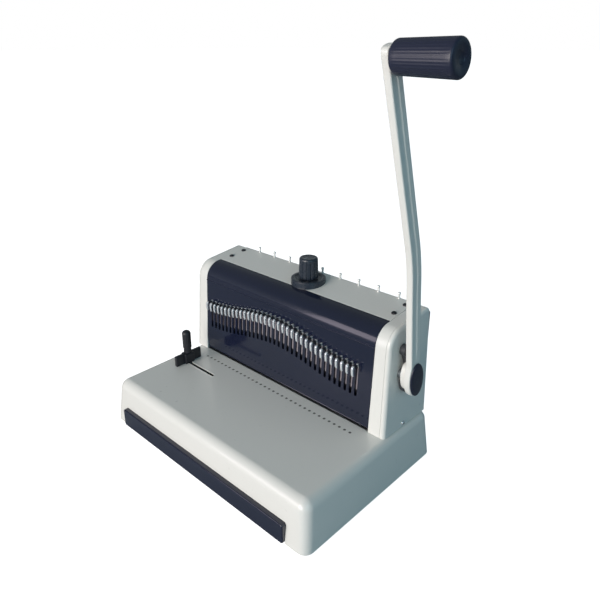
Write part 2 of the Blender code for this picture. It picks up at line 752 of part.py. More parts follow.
def cam_outline():
    """Round, with a lobe that rises evenly from the top towards the rear."""
    points = []
    sides = 40
    rise_end, fall_end = 1.5, 2.6
    for side in range(sides):
        angle = 2 * math.pi * side / sides
        if angle <= rise_end:
            radius = CAM_BASE + CAM_RISE * angle
        elif angle < fall_end:
            radius = CAM_BASE + CAM_RISE * rise_end * (fall_end - angle) / (fall_end - rise_end)
        else:
            radius = CAM_BASE
        points.append((SHAFT_Y + radius * math.sin(angle), SHAFT_Z + radius * math.cos(angle)))
    return points


def make_drive():
    axis = (SHAFT_Y, SHAFT_Z)
    bar = flat(circle(*axis, SHAFT_RADIUS), 15 * MM, ARM_OUTER - 4.8 * MM, "YZ")
    place("drive_shaft", bar, STEEL, (15 * MM, *axis))
    bore = circle(*axis, SHAFT_RADIUS + GAP)
    for side, (low, high) in zip(("left", "right"), PINION_SPANS):
        place(f"{side}_pinion", flat(pinion_outline(), low, high, "YZ", [bore]), STEEL, (low, *axis))
    for side, (low, high) in zip(("left", "right"), CAM_SPANS):
        place(f"closer_cam_{side}", flat(cam_outline(), low, high, "YZ", [bore]), STEEL, (low, *axis))


def arc(centre, radius, start, end, count):
    """Points on a circle in the side plane, from one angle in degrees to another."""
    turns = [math.radians(start + (end - start) * k / count) for k in range(count + 1)]
    return [(centre[0] + radius * math.cos(turn), centre[1] + radius * math.sin(turn)) for turn in turns]


def escutcheon_outline():
    """A small lobe above the hub and a large one below it, which is notched round the shaft."""
    small = arc(LOBE_UPPER, 7 * MM, -80, 250, 16)
    notch = arc((SHAFT_Y, SHAFT_Z), SHAFT_RADIUS + 2 * GAP, 12, -102, 7)
    large = arc(LOBE_LOWER, 16 * MM, 158, 436, 16)
    return small + arc(LOBE_LOWER, 16 * MM, 105, 112, 1) + notch + large


def make_handle():
    axis = (ARM_INNER, SHAFT_Y, SHAFT_Z)
    hub = flat(oval(SHAFT_Y, SHAFT_Z, *HUB, HUB_TILT), BOSS_INNER, ARM_OUTER, "YZ")
    hub = bevel_edges(hub, lambda co: abs(co.x - ARM_OUTER) < 1e-6, 1.2 * MM)
    hub_node = place("handle_arm", hub, CREAM, axis)
    top = (GRIP_Y, GRIP_Z)
    spine = [(SHAFT_Y, SHAFT_Z), ARM_BEND, top]
    low_way = Vector(spine[1]) - Vector(spine[0])
    high_way = Vector(spine[2]) - Vector(spine[1])
    low_side = Vector((-low_way.y, low_way.x)).normalized() * ARM_HALF
    high_side = Vector((-high_way.y, high_way.x)).normalized() * ARM_HALF
    mitre = (low_side + high_side) / (1 + low_side.dot(high_side) / ARM_HALF**2)
    end = Vector(top) + high_way.normalized() * ARM_HALF
    bend = Vector(ARM_BEND)
    round_end = ARM_HALF * 0.98
    corners = [
        (*(Vector(spine[0]) - low_side), 0),
        (*(bend - mitre), 60 * MM),
        (*(end - high_side), round_end),
        (*(end + high_side), round_end),
        (*(bend + mitre), 60 * MM),
        (*(Vector(spine[0]) + low_side), 0),
    ]
    bar = flat(rounded(corners, 6), ARM_INNER, ARM_OUTER - 0.05 * MM, "YZ")
    bar = bevel_edges(bar, lambda co: abs(co.x - ARM_OUTER + 0.05 * MM) < 1e-6, 1.5 * MM)
    join(hub_node, bar)
    bores = [
        flat(circle(SHAFT_Y, SHAFT_Z, SHAFT_RADIUS + GAP), 0.36, ARM_OUTER - 4.5 * MM, "YZ"),
        flat(circle(GRIP_Y, GRIP_Z, 5 * MM + GAP, 16), 0.37, 0.4, "YZ"),
    ]
    combine(hub_node, helper("handle_bores", gather(bores)), "DIFFERENCE")
    cap = flat(oval(SHAFT_Y, SHAFT_Z, 13 * MM, 22 * MM, HUB_TILT), ARM_OUTER + GAP, ARM_OUTER + 3 * MM, "YZ")
    cap = bevel_edges(cap, lambda co: co.x > ARM_OUTER + 2 * MM, 1.0 * MM)
    place("hub_cap", cap, NAVY, (ARM_OUTER + GAP, SHAFT_Y, SHAFT_Z))
    back = TOWER_RIGHT + GAP
    plate = flat(escutcheon_outline(), back, BOSS_INNER - GAP, "YZ")
    for vert in plate.vertices:
        if vert.co.x < back + 1e-6:
            vert.co.x -= COVER_LEAN * (vert.co.z - BASE_TOP) / (TOP_HEIGHT - BASE_TOP)
    place("hub_escutcheon", plate, BLACK)


def make_grip():
    sides = 24
    profile = [
        (5.0 * MM + GAP, GRIP_END),
        (12.5 * MM, GRIP_END),
        (15.6 * MM, GRIP_END - 1.6 * MM),
        (16.7 * MM, GRIP_END - 5 * MM),
        (15.4 * MM, GRIP_START + 4 * MM),
        (14.0 * MM, GRIP_START + 1 * MM),
        (12.5 * MM, GRIP_START),
        (5.0 * MM + GAP, GRIP_START),
        (5.0 * MM + GAP, GRIP_END),
    ]
    place("grip", along_x(turned_z(profile, (0, 0), sides), GRIP_Y, GRIP_Z), NAVY, (GRIP_START, GRIP_Y, GRIP_Z))
    rod = [(0, GRIP_END - 2.5 * MM), (5 * MM, GRIP_END - 2.5 * MM), (5 * MM, ARM_INNER + 1 * MM), (0, ARM_INNER + 1 * MM)]
    place("grip_spindle", along_x(turned_z(rod, (0, 0), 16), GRIP_Y, GRIP_Z), STEEL, (GRIP_START, GRIP_Y, GRIP_Z))


# ---------------------------------------------------------------------------------------------------- closer

def make_closer():
    low, high = REAR_SPAN
    bar = rounded(
        (
            (REAR_INNER + 0.5 * MM, BAR_LOW, 0),
            (REAR_FACE, BAR_LOW, 5 * MM),
            (REAR_FACE, BAR_TOP, 3 * MM),
            (REAR_INNER + 0.5 * MM, BAR_TOP, 0),
        ),
        3,
    )
    closer = place("closer_bar", flat(bar, low, high, "YZ"), NAVY, (0, REAR_FACE, BAR_LOW))
    nose = SHAFT_Z + CAM_BASE + GAP
    bracket = [
        (245.5 * MM, 115 * MM), (236 * MM, 115 * MM), (236 * MM, 171 * MM), (178 * MM, 171 * MM),
        (178 * MM, 163 * MM), (SHAFT_Y, nose), (186 * MM, 163 * MM),
        (227 * MM, 162 * MM), (227 * MM, 103 * MM), (245.5 * MM, 103 * MM),
    ]
    arms = [flat(bracket, start + 2 * MM, end - 2 * MM, "YZ") for start, end in CAM_SPANS]
    combine(closer, helper("closer_brackets", gather(arms)), "UNION")
    anvil = rounded(
        (
            (REAR_INNER + 0.5 * MM, ANVIL_LOW, 0),
            (REAR_FACE, ANVIL_LOW, 2 * MM),
            (REAR_FACE, ANVIL_TOP, 3 * MM),
            (REAR_INNER + 0.5 * MM, ANVIL_TOP, 0),
        ),
        3,
    )
    jaw = place("closer_anvil", flat(anvil, low, high, "YZ"), NAVY, (0, REAR_FACE, ANVIL_LOW))
    bridge = [
        (198 * MM, 158 * MM), (236 * MM, 158 * MM), (236 * MM, 133 * MM),
        (245.5 * MM, 133 * MM), (245.5 * MM, 142 * MM), (240 * MM, 142 * MM), (240 * MM, 162 * MM), (198 * MM, 162 * MM),
    ]
    join(jaw, flat(bridge, KNOB_X - 20 * MM, KNOB_X + 20 * MM, "YZ"))
    cut(jaw, flat(circle(KNOB_X, KNOB_Y, SPINDLE_RADIUS + GAP, 16), 0.15, 0.17, "XY"))


def make_adjuster():
    axis = (KNOB_X, KNOB_Y)
    bore = circle(*axis, SPINDLE_RADIUS + GAP, 16)
    bezel = flat(circle(*axis, BEZEL_RADIUS, 32), BEZEL_TOP - 8 * MM, BEZEL_TOP, "XY", [bore])
    for vert in bezel.vertices:
        if vert.co.z < BEZEL_TOP - 4 * MM:
            vert.co.z = tower_top(vert.co.y) + GAP
    bezel = bevel_edges(bezel, lambda co: co.z > BEZEL_TOP - 1e-6 and (co.xy - Vector(axis)).length > 0.02, 2 * MM)
    place("adjuster_bezel", bezel, NAVY, (*axis, BEZEL_TOP))
    flutes = 14
    outline = []
    for flute in range(flutes):
        for share, radius in ((0.0, 1.0), (0.45, 1.0), (0.6, 0.93), (0.85, 0.93)):
            turn = 2 * math.pi * (flute + share) / flutes
            reach = KNOB_RADIUS * radius
            outline.append((KNOB_X + reach * math.cos(turn), KNOB_Y + reach * math.sin(turn)))
    low = BEZEL_TOP + GAP
    knob = flat(outline, low, KNOB_TOP, "XY")
    knob = bevel_edges(knob, lambda co: co.z > KNOB_TOP - 1e-6, 1.2 * MM, 2)
    knob = place("adjuster_knob", knob, NAVY, (*axis, low))
    cut(knob, flat(bore, low - 0.01, low + 15 * MM, "XY"))
    rod = [(0, low + 14.6 * MM), (SPINDLE_RADIUS, low + 14.6 * MM), (SPINDLE_RADIUS, 153 * MM), (0, 153 * MM)]
    place("adjuster_spindle", turned_z(rod, axis, 16), STEEL, (*axis, low))
    nut = flat(circle(*axis, 7 * MM, 6), 162.3 * MM, 168 * MM, "XY", [bore])
    place("adjuster_nut", nut, STEEL, (*axis, 162.3 * MM))


# ------------------------------------------------------------------------------------------ guide and fittings

def make_side_guide():
    origin = (GUIDE_X, GUIDE_Y, BASE_TOP)
    low = BASE_TOP + GAP
    top = 81 * MM
    fence = box((GUIDE_X - 2.5 * MM, 83 * MM, low), (GUIDE_X + 2.5 * MM, 128 * MM, top), 0.8 * MM)
    guide = place("guide_fence", fence, BLACK, origin)
    boss = box((GUIDE_X - 6 * MM, GUIDE_Y - 8 * MM, low), (GUIDE_X + 6 * MM, GUIDE_Y + 8 * MM, top - 0.5 * MM), 0.8 * MM)
    join(guide, boss)
    shaft = 2.2 * MM
    axis = (GUIDE_X, GUIDE_Y)
    cut(guide, flat(circle(*axis, shaft + GAP, 12), BASE_TOP - 0.01, BASE_TOP + 0.03, "XY"))
    foot, head, radius = top + GAP, 117 * MM, 6.5 * MM
    profile = [(0, head), (radius * 0.5, head - 0.8 * MM), (radius * 0.86, head - 3 * MM), (radius, head - 6 * MM),
               (radius, foot + 9 * MM), (radius * 0.88, foot + 6 * MM), (radius * 0.88, foot),
               (shaft, foot), (shaft, 50 * MM), (0, 50 * MM)]
    place("guide_post", turned_z(profile, axis, 20), BLACK, (*axis, foot))
    ring = circle(*axis, shaft + GAP, 12)
    nut = flat(circle(*axis, 6 * MM, 6), 53 * MM, 58 * MM, "XY", [ring])
    place("guide_clamp_nut", nut, STEEL, (*axis, 53 * MM))


def make_fittings():
    slope = math.atan(TOP_SLOPE)
    profile = [(0, 2.0 * MM), (2.0 * MM, 1.7 * MM), (3.5 * MM, 0.8 * MM), (3.5 * MM, GAP), (1.5 * MM, GAP), (1.5 * MM, -5 * MM), (0, -5 * MM)]
    names = ("front_left", "rear_left", "front_right", "rear_right")
    for name, (x, y) in zip(names, SCREWS):
        screw = place(f"top_screw_{name}", turned_z(profile, (0, 0), 12), BLACK)
        screw.location = (x, y, tower_top(y))
        screw.rotation_euler = (slope, 0, 0)
    top = 9.0 * MM
    peg = [(0, top), (1.0 * MM, top), (1.7 * MM, top - 0.9 * MM), (1.7 * MM, 0.6 * MM), (1.2 * MM, 0.6 * MM), (1.2 * MM, -4 * MM), (0, -4 * MM)]
    for number in range(PEGS):
        node = place(f"hanger_peg_{number + 1}", turned_z(peg, (0, 0), 8), CHROME)
        node.location = (FIRST_PEG + PEG_PITCH * number, PEG_Y, tower_top(PEG_Y))
    y, z = SIDE_SCREW
    face = TOWER_RIGHT - COVER_LEAN * (z - BASE_TOP) / (TOP_HEIGHT - BASE_TOP)
    head = [(0, face + 1.8 * MM), (2.0 * MM, face + 1.5 * MM), (3.2 * MM, face + 0.6 * MM), (3.2 * MM, face + 0.5 * MM),
            (1.5 * MM, face + 0.5 * MM), (1.5 * MM, face - 7 * MM), (0, face - 7 * MM)]
    place("side_screw", along_x(turned_z(head, (0, 0), 12), y, z), CHROME)


make_base_cover()
make_bottom()
make_drawer()
make_tower_shell()
make_frames()
make_die_set()
make_punch_pins()
make_punch_beam()
make_comb_fingers()
make_return_springs()
make_drive()
make_handle()
make_grip()
make_closer()
make_adjuster()
make_side_guide()
make_fittings()
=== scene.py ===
"""Looks of the comb binding machine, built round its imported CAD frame.

Pieces are drawn in the machine's own frame, in metres: X to the right along the base's front edge, Y to the
back, Z up, with zero at the base's front left bottom corner. Each is then moved to the CAD's frame by SHIFT.
"""

import math

import bmesh
import bpy
from mathutils import Matrix, Vector


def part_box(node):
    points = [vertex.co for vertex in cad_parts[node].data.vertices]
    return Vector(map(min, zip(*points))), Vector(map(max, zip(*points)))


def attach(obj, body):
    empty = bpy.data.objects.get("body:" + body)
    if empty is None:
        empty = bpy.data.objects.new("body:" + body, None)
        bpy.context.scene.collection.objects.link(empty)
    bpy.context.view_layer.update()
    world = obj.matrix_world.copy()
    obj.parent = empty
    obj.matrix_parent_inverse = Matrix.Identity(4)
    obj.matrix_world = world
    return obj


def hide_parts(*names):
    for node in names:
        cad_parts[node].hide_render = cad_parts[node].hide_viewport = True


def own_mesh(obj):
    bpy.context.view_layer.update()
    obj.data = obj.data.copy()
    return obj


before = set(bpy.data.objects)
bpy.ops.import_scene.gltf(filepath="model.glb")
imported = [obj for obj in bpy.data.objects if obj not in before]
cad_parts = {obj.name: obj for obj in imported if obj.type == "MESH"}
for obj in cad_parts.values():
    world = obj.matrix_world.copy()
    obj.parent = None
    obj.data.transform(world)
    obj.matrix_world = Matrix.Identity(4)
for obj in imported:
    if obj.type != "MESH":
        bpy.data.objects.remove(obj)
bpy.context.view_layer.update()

MM = 0.001
BASE_LOW, BASE_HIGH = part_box("base_cover")
SHIFT = Vector((BASE_LOW.x, BASE_LOW.y, 0))
BASE_TOP = BASE_HIGH.z
BASE_WIDTH = 377.4 * MM
BASE_DEPTH = 248.9 * MM

PINS = 34
PITCH = 279.4 * MM / (PINS - 1)
FIRST_PIN = 38.5 * MM
FINGER_ARCH = 18 * MM  # how much higher the middle fingers are
FIRST_MARK = 46.6 * MM
MARK_Y = 136.5 * MM
INNER_LEFT = 26.4 * MM  # inner faces of the side covers
INNER_RIGHT = 341.6 * MM
OUTER_LEFT = 1.9 * MM
OUTER_RIGHT = 366.1 * MM
SHOULDER = 205 * MM  # height at which the roof starts
ROOF_START = 187 * MM
ROOF_SLOPE = 0.11
FRONT_SLOPE = 0.06
LEAN_IN = 4.0 * MM  # how far the side covers lean in at the shoulder
TOWER_REAR = 243.0 * MM
REAR_FACE = 250.5 * MM  # outer face of the rear cover and of the closer's bars
GAP = 0.3 * MM
SHAFT = (182.0 * MM, 145.0 * MM)
SHAFT_HOLE = 6.3 * MM
HUB = (14.2 * MM, 23.5 * MM)  # half the width and height of the handle's hub
HUB_TILT = math.radians(7)
ARM_BEND = (165 * MM, 297 * MM)
GRIP_AXIS = (99.0 * MM, 503.0 * MM)
ARM_INNER = 377.3 * MM
ARM_OUTER = 385.8 * MM
ARM_HALF = 9.3 * MM
LEAN_START = 250 * MM  # above this height the arm leans out
TOP_LEAN = 2.3 * MM  # how far it leans out at the grip
KNOB = (191.0 * MM, 207.0 * MM)
GUIDE = (38.5 * MM, 105.5 * MM)
PEGS = 9
FIRST_PEG = 60 * MM
PEG_PITCH = 32.3 * MM
PEG_Y = 238.5 * MM


# ------------------------------ materials

def shader_graph(name):
    material = bpy.data.materials.new(name)
    material.use_nodes = True
    tree = material.node_tree
    return material, tree, tree.nodes["Principled BSDF"]


def noise(tree, scale, detail, stretch=(1, 1, 1)):
    """Noise in the piece's own coordinates."""
    place = tree.nodes.new("ShaderNodeTexCoord")
    mapping = tree.nodes.new("ShaderNodeMapping")
    mapping.inputs["Scale"].default_value = stretch
    texture = tree.nodes.new("ShaderNodeTexNoise")
    texture.inputs["Scale"].default_value = scale
    texture.inputs["Detail"].default_value = detail
    tree.links.new(place.outputs["Object"], mapping.inputs["Vector"])
    tree.links.new(mapping.outputs["Vector"], texture.inputs["Vector"])
    return texture.outputs["Fac"]


def spread(tree, value, low, high, start, end):
    """Maps the values between start and end to those between low and high."""
    node = tree.nodes.new("ShaderNodeMapRange")
    for name, number in (("From Min", start), ("From Max", end), ("To Min", low), ("To Max", high)):
        node.inputs[name].default_value = number
    tree.links.new(value, node.inputs["Value"])
    return node.outputs["Result"]


def blend_colours(tree, share, first, second, blend="MIX"):
    """Blends two colours, of which the first may be another node's output."""
    node = tree.nodes.new("ShaderNodeMix")
    node.data_type = "RGBA"
    node.blend_type = blend
    if isinstance(first, tuple):
        node.inputs["A"].default_value = (*first, 1)
    else:
        tree.links.new(first, node.inputs["A"])
    node.inputs["B"].default_value = (*second, 1)
    tree.links.new(share, node.inputs["Factor"])
    return node.outputs["Result"]


def bump(tree, shader, height, distance):
    node = tree.nodes.new("ShaderNodeBump")
    node.inputs["Distance"].default_value = distance
    tree.links.new(height, node.inputs["Height"])
    tree.links.new(node.outputs["Normal"], shader.inputs["Normal"])


def surface(name, colours, rough, grain, relief, metallic=0.0, coat=0.0, patch=9, stretch=(1, 1, 1), dust=0):
    """Two close colours in soft patches, a varied roughness and a fine relief, its height in millimetres."""
    material, tree, shader = shader_graph(name)
    share = spread(tree, noise(tree, patch, 2.0), 0, 1, 0.2, 0.8)
    colour = blend_colours(tree, share, *colours)
    if dust:
        speck = spread(tree, noise(tree, 2300, 1.0), 0, dust, 0.66, 0.8)
        colour = blend_colours(tree, speck, colour, [min(1, c * 1.5 + 0.03) for c in colours[0]])
    tree.links.new(colour, shader.inputs["Base Color"])
    varied = spread(tree, noise(tree, grain / 8, 3.0, stretch), *rough, 0.2, 0.8)
    tree.links.new(varied, shader.inputs["Roughness"])
    bump(tree, shader, noise(tree, grain, 2.0, stretch), relief * MM)
    shader.inputs["Metallic"].default_value = metallic
    shader.inputs["Coat Weight"].default_value = coat
    shader.inputs["Coat Roughness"].default_value = 0.06
    return material


CREAM = surface("cream_enamel", ((0.735, 0.735, 0.70), (0.75, 0.748, 0.715)), (0.27, 0.30), 1200, 0.003,
                coat=0.3)
NAVY = surface("navy_gloss_plastic", ((0.0075, 0.0105, 0.027), (0.0095, 0.0125, 0.031)), (0.11, 0.17), 900,
               0.003, coat=0.3, dust=0.08)
NAVY_SATIN = surface("navy_satin_plastic", ((0.010, 0.013, 0.032), (0.014, 0.017, 0.040)), (0.33, 0.45), 1900,
                     0.02, dust=0.3)
BLACK = surface("black_moulded_plastic", ((0.008, 0.009, 0.013), (0.014, 0.015, 0.021)), (0.36, 0.5), 1700,
                0.03, dust=0.3)
STEEL = surface("ground_steel_plate", ((0.42, 0.43, 0.45), (0.52, 0.53, 0.55)), (0.24, 0.4), 700, 0.012,
                metallic=1.0, stretch=(0.04, 1, 1))
# Dark oiled steel for the grip's bolt and the inner steel parts; on the hooks' bridges it is painted shade.
DARK_STEEL = surface("oiled_steel_and_painted_shade", ((0.10, 0.10, 0.11), (0.18, 0.18, 0.19)), (0.25, 0.42), 600, 0.015,
                     metallic=1.0, stretch=(1, 1, 0.06))
CHROME = surface("bright_chrome", ((0.78, 0.80, 0.83), (0.86, 0.87, 0.88)), (0.07, 0.17), 500, 0.006,
                 metallic=1.0, patch=60, stretch=(1, 1, 0.15))
SATIN_ZINC = surface("satin_zinc_hook", ((0.80, 0.84, 0.88), (0.87, 0.89, 0.92)), (0.13, 0.19), 900, 0.006,
                     metallic=0.55, patch=120, stretch=(1, 1, 0.1))
# The shanks' steel is the hook steel painted darker and pinker: painted shade behind the panel and a painted
# warm reflection.
SHANK_STEEL_PAINTED_SHADE = surface("shank_steel_painted_shade_and_reflection", ((0.40, 0.355, 0.38), (0.50, 0.45, 0.475)), (0.26, 0.38), 900,
                     0.006, metallic=0.6, patch=120, stretch=(1, 1, 0.1))
ZINC = surface("zinc_plated_steel", ((0.55, 0.56, 0.55), (0.66, 0.67, 0.64)), (0.22, 0.36), 800, 0.012,
               metallic=1.0, patch=120)
RUBBER = surface("foot_rubber", ((0.012, 0.012, 0.013), (0.028, 0.027, 0.026)), (0.65, 0.85), 1500, 0.06)
BRONZE = surface("bush_bronze", ((0.50, 0.32, 0.14), (0.60, 0.40, 0.19)), (0.24, 0.38), 700, 0.015,
                 metallic=1.0, stretch=(0.1, 1, 1))
PEG_METAL = surface("nickel_plated_pin", ((0.84, 0.84, 0.82), (0.90, 0.90, 0.88)), (0.25, 0.36), 700, 0.01,
                    metallic=0.45, patch=120)
KNOB_NAVY = surface("satin_knob_plastic", ((0.020, 0.027, 0.040), (0.027, 0.035, 0.050)), (0.24, 0.34), 1900,
                    0.02, coat=0.2, dust=0.1)
GREY_PLATE = surface("grey_plate", ((0.045, 0.048, 0.055), (0.06, 0.063, 0.07)), (0.4, 0.52), 1500, 0.02)
MARK_INK = surface("mark_ink", ((0.115, 0.112, 0.105), (0.16, 0.155, 0.145)), (0.5, 0.7), 1500, 0.02)


# ------------------------------ mesh tools

PLANES = {
    "YZ": Matrix(((0, 0, 1, 0), (1, 0, 0, 0), (0, 1, 0, 0), (0, 0, 0, 1))),
    "XZ": Matrix(((1, 0, 0, 0), (0, 0, -1, 0), (0, 1, 0, 0), (0, 0, 0, 1))),
    "XY": Matrix.Identity(4),
}


def to_mesh(bm, fix=True):
    if fix:
        bmesh.ops.recalc_face_normals(bm, faces=bm.faces)
    mesh = bpy.data.meshes.new("mesh")
    bm.to_mesh(mesh)
    bm.free()
    return mesh


def from_mesh(mesh):
    bm = bmesh.new()
    bm.from_mesh(mesh)
    return bm


def gather(meshes):
    bm = bmesh.new()
    for mesh in meshes:
        bm.from_mesh(mesh)
    return to_mesh(bm)


def box(low, high, bevel=0.0, segments=3):
    bm = bmesh.new()
    size = Vector(high) - Vector(low)
    middle = (Vector(high) + Vector(low)) / 2
    bmesh.ops.create_cube(bm, size=1.0, matrix=Matrix.Translation(middle) @ Matrix.Diagonal((*size, 1)))
    if bevel:
        bmesh.ops.bevel(bm, geom=bm.edges[:], offset=bevel, segments=segments, profile=0.5, affect="EDGES")
    return to_mesh(bm)


def mm(*lengths):
    return tuple(length * MM for length in lengths)


def below(top, *points):
    """Points (radius, height) of a profile, from millimetres of (radius, depth under the top)."""
    return [(radius * MM, top - depth * MM) for radius, depth in points]


def circle(u, v, radius, sides=32):
    turns = [2 * math.pi * k / sides for k in range(sides)]
    return [(u + radius * math.cos(turn), v + radius * math.sin(turn)) for turn in turns]


def hub_oval(half_width, half_height, sides=64):
    """An oval round the handle's shaft, tilted as its hub is."""
    cos, sin = math.cos(HUB_TILT), math.sin(HUB_TILT)
    points = [(x * half_width, y * half_height) for x, y in circle(0, 0, 1, sides)]
    return [(SHAFT[0] + x * cos - y * sin, SHAFT[1] + x * sin + y * cos) for x, y in points]


def rounded(corners, steps=8):
    """Outline through corners (u, v, radius), with an arc at each corner whose radius isn't 0."""
    points = []
    for index, (u, v, radius) in enumerate(corners):
        corner = Vector((u, v))
        if not radius:
            points.append(corner)
            continue
        before = (Vector(corners[index - 1][:2]) - corner).normalized()
        after = (Vector(corners[(index + 1) % len(corners)][:2]) - corner).normalized()
        half = before.angle(after) / 2
        centre = corner + (before + after).normalized() * (radius / math.sin(half))
        start = corner + before * (radius / math.tan(half)) - centre
        turn = start.angle_signed(corner + after * (radius / math.tan(half)) - centre)
        for step in range(steps + 1):
            arm = start.copy()
            arm.rotate(Matrix.Rotation(-turn * step / steps, 2))
            points.append(centre + arm)
    return [(point.x, point.y) for point in points]


def round_box(left, low, right, high, radius, steps=6):
    corners = ((left, low), (right, low), (right, high), (left, high))
    return rounded([(*corner, radius) for corner in corners], steps)


def flat(outline, low, high, plane, holes=()):
    """Mesh of a flat outline in the YZ, XZ or XY plane, which reaches from low to high across that plane."""
    curve = bpy.data.curves.new("outline", "CURVE")
    curve.dimensions = "2D"
    curve.fill_mode = "BOTH"
    curve.extrude = (high - low) / 2
    for loop in (outline, *holes):
        spline = curve.splines.new("POLY")
        spline.points.add(len(loop) - 1)
        for point, (u, v) in zip(spline.points, loop):
            point.co = (u, v, 0, 1)
        spline.use_cyclic_u = True
    drawing = bpy.data.objects.new("outline", curve)
    bpy.context.scene.collection.objects.link(drawing)
    graph = bpy.context.evaluated_depsgraph_get()
    mesh = bpy.data.meshes.new_from_object(drawing.evaluated_get(graph))
    bpy.data.objects.remove(drawing)
    across = (low + high) / 2 * (-1 if plane == "XZ" else 1)
    mesh.transform(PLANES[plane] @ Matrix.Translation((0, 0, across)))
    bm = from_mesh(mesh)
    bmesh.ops.remove_doubles(bm, verts=bm.verts, dist=1e-6)
    bmesh.ops.dissolve_limit(bm, angle_limit=0.01, verts=bm.verts, edges=bm.edges)
    return to_mesh(bm)


def bevel_edges(mesh, wanted, width, segments):
    bm = from_mesh(mesh)
    edges = [edge for edge in bm.edges if wanted(edge)]
    bmesh.ops.bevel(bm, geom=edges, offset=width, segments=segments, profile=0.5, affect="EDGES",
                    clamp_overlap=True)
    return to_mesh(bm)


def bevel_where(mesh, wanted, width, segments=3):
    """Rounds the edges whose two ends both satisfy the test."""
    return bevel_edges(mesh, lambda edge: all(wanted(vert.co) for vert in edge.verts), width, segments)


def bevel_sharp(mesh, width, segments=2, angle=35.0):
    """Rounds every edge that turns by more than the angle."""
    limit = math.radians(angle)
    return bevel_edges(mesh, lambda e: e.is_manifold and e.calc_face_angle() > limit, width, segments)


def at_ends(point, left, right):
    """Whether the point is on one of the two end faces of a shape that lies along X."""
    return point.x < left + 1e-6 or point.x > right - 1e-6


def carve(mesh, other, operation="DIFFERENCE"):
    """The mesh with the other one cut out of it or joined to it."""
    body = bpy.data.objects.new("carved", mesh)
    tool = bpy.data.objects.new("tool", other)
    for obj in (body, tool):
        bpy.context.scene.collection.objects.link(obj)
    modifier = body.modifiers.new("carve", "BOOLEAN")
    modifier.operation = operation
    modifier.object = tool
    graph = bpy.context.evaluated_depsgraph_get()
    result = bpy.data.meshes.new_from_object(body.evaluated_get(graph))
    for obj in (body, tool):
        bpy.data.objects.remove(obj)
    bm = from_mesh(result)
    bmesh.ops.remove_doubles(bm, verts=bm.verts, dist=1e-6)
    bmesh.ops.dissolve_limit(bm, angle_limit=0.004, verts=bm.verts, edges=bm.edges)
    return to_mesh(bm, fix=False)


def turned(profile, centre=(0, 0), steps=48, wave=None):
    """A profile of (radius, height), from the top down its outer side, turned about a vertical axis."""
    bm = bmesh.new()
    x, y = centre
    rings = []
    for radius, height in profile:
        if radius < 1e-7:
            rings.append([bm.verts.new((x, y, height))])
            continue
        ring = []
        for k in range(steps):
            turn = 2 * math.pi * k / steps
            reach = radius + (wave(turn, radius, height) if wave else 0)
            ring.append(bm.verts.new((x + reach * math.cos(turn), y + reach * math.sin(turn), height)))
        rings.append(ring)
    for upper, lower in zip(rings, rings[1:]):
        for k in range(steps):
            after = (k + 1) % steps
            quad = [lower[k % len(lower)], lower[after % len(lower)], upper[after % len(upper)]]
            corners = list(dict.fromkeys([upper[k % len(upper)], *quad]))
            if len(corners) > 2:
                bm.faces.new(corners)
    return to_mesh(bm)


def along_x(mesh, y, z):
    """Lays a mesh that stands on the Z axis along X, on the line through (y, z)."""
    mesh.transform(Matrix.Translation((0, y, z)) @ Matrix.Rotation(math.pi / 2, 4, "Y"))
    return mesh


def moved(mesh, offset, turn=None):
    """A copy of the mesh, turned and then moved."""
    copy = mesh.copy()
    copy.transform(Matrix.Translation(offset) @ (turn or Matrix.Identity(4)))
    return copy


def piece(name, mesh, material, body, replaces=(), smooth=38.0, weighted=True):
    """Adds a finished mesh as a visible piece that rides on a body."""
    mesh.name = name
    mesh.materials.clear()
    mesh.materials.append(material)
    mesh.shade_smooth()
    mesh.set_sharp_from_angle(angle=math.radians(smooth))
    obj = bpy.data.objects.new(name, mesh)
    obj.location = SHIFT
    bpy.context.scene.collection.objects.link(obj)
    if weighted:
        modifier = obj.modifiers.new("even_shading", "WEIGHTED_NORMAL")
        modifier.keep_sharp = True
        modifier.weight = 80
    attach(obj, body)
    if replaces:
        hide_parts(*([replaces] if isinstance(replaces, str) else replaces))
    return obj


# ------------------------------ shared shapes

def tower_front(z):
    return 151.7 * MM + FRONT_SLOPE * (z - BASE_TOP)


def tower_top(y):
    return SHOULDER + ROOF_SLOPE * (y - ROOF_START)


def tower_outline(inset, foot, rear, rear_top, rear_radius, steps=16):
    """The tower's outline from the side, pulled in by inset, up to a given rear corner."""
    corner = tower_front(SHOULDER)
    front_corner = (corner + inset, tower_top(corner) - inset, 25 * MM - inset)
    ends = ((tower_front(foot) + inset, foot, 0), (rear, foot, 0))
    return rounded((ends[0], front_corner, (rear, rear_top, rear_radius), ends[1]), steps)


def side_outline(inset, foot, steps=16):
    """The tower's outline pulled in by inset all round."""
    rear, rear_top = TOWER_REAR - inset, tower_top(TOWER_REAR) - inset
    return tower_outline(inset, foot, rear, rear_top, 4 * MM - inset * 0.9, steps)


def cover_outline(inset, foot):
    """The side cover's outline pulled in by inset, and half as much at the rear."""
    rear = TOWER_REAR - inset * 0.45
    return tower_outline(inset, foot, rear, tower_top(rear) - inset, max(1.5 * MM, 4.5 * MM - inset * 0.3))


def lean_in(z, foot):
    """How far the outer face of a side cover that stands at foot has leaned in at a height."""
    return LEAN_IN * (z - foot) / (SHOULDER - foot)


def arch(x):
    along = (x - FIRST_PIN) / (PITCH * (PINS - 1))
    if not 0 < along < 1:
        return 0.0
    return FINGER_ARCH * (1 - math.cos(2 * math.pi * along)) / 2


PIN_XS = [FIRST_PIN + PITCH * number for number in range(PINS)]


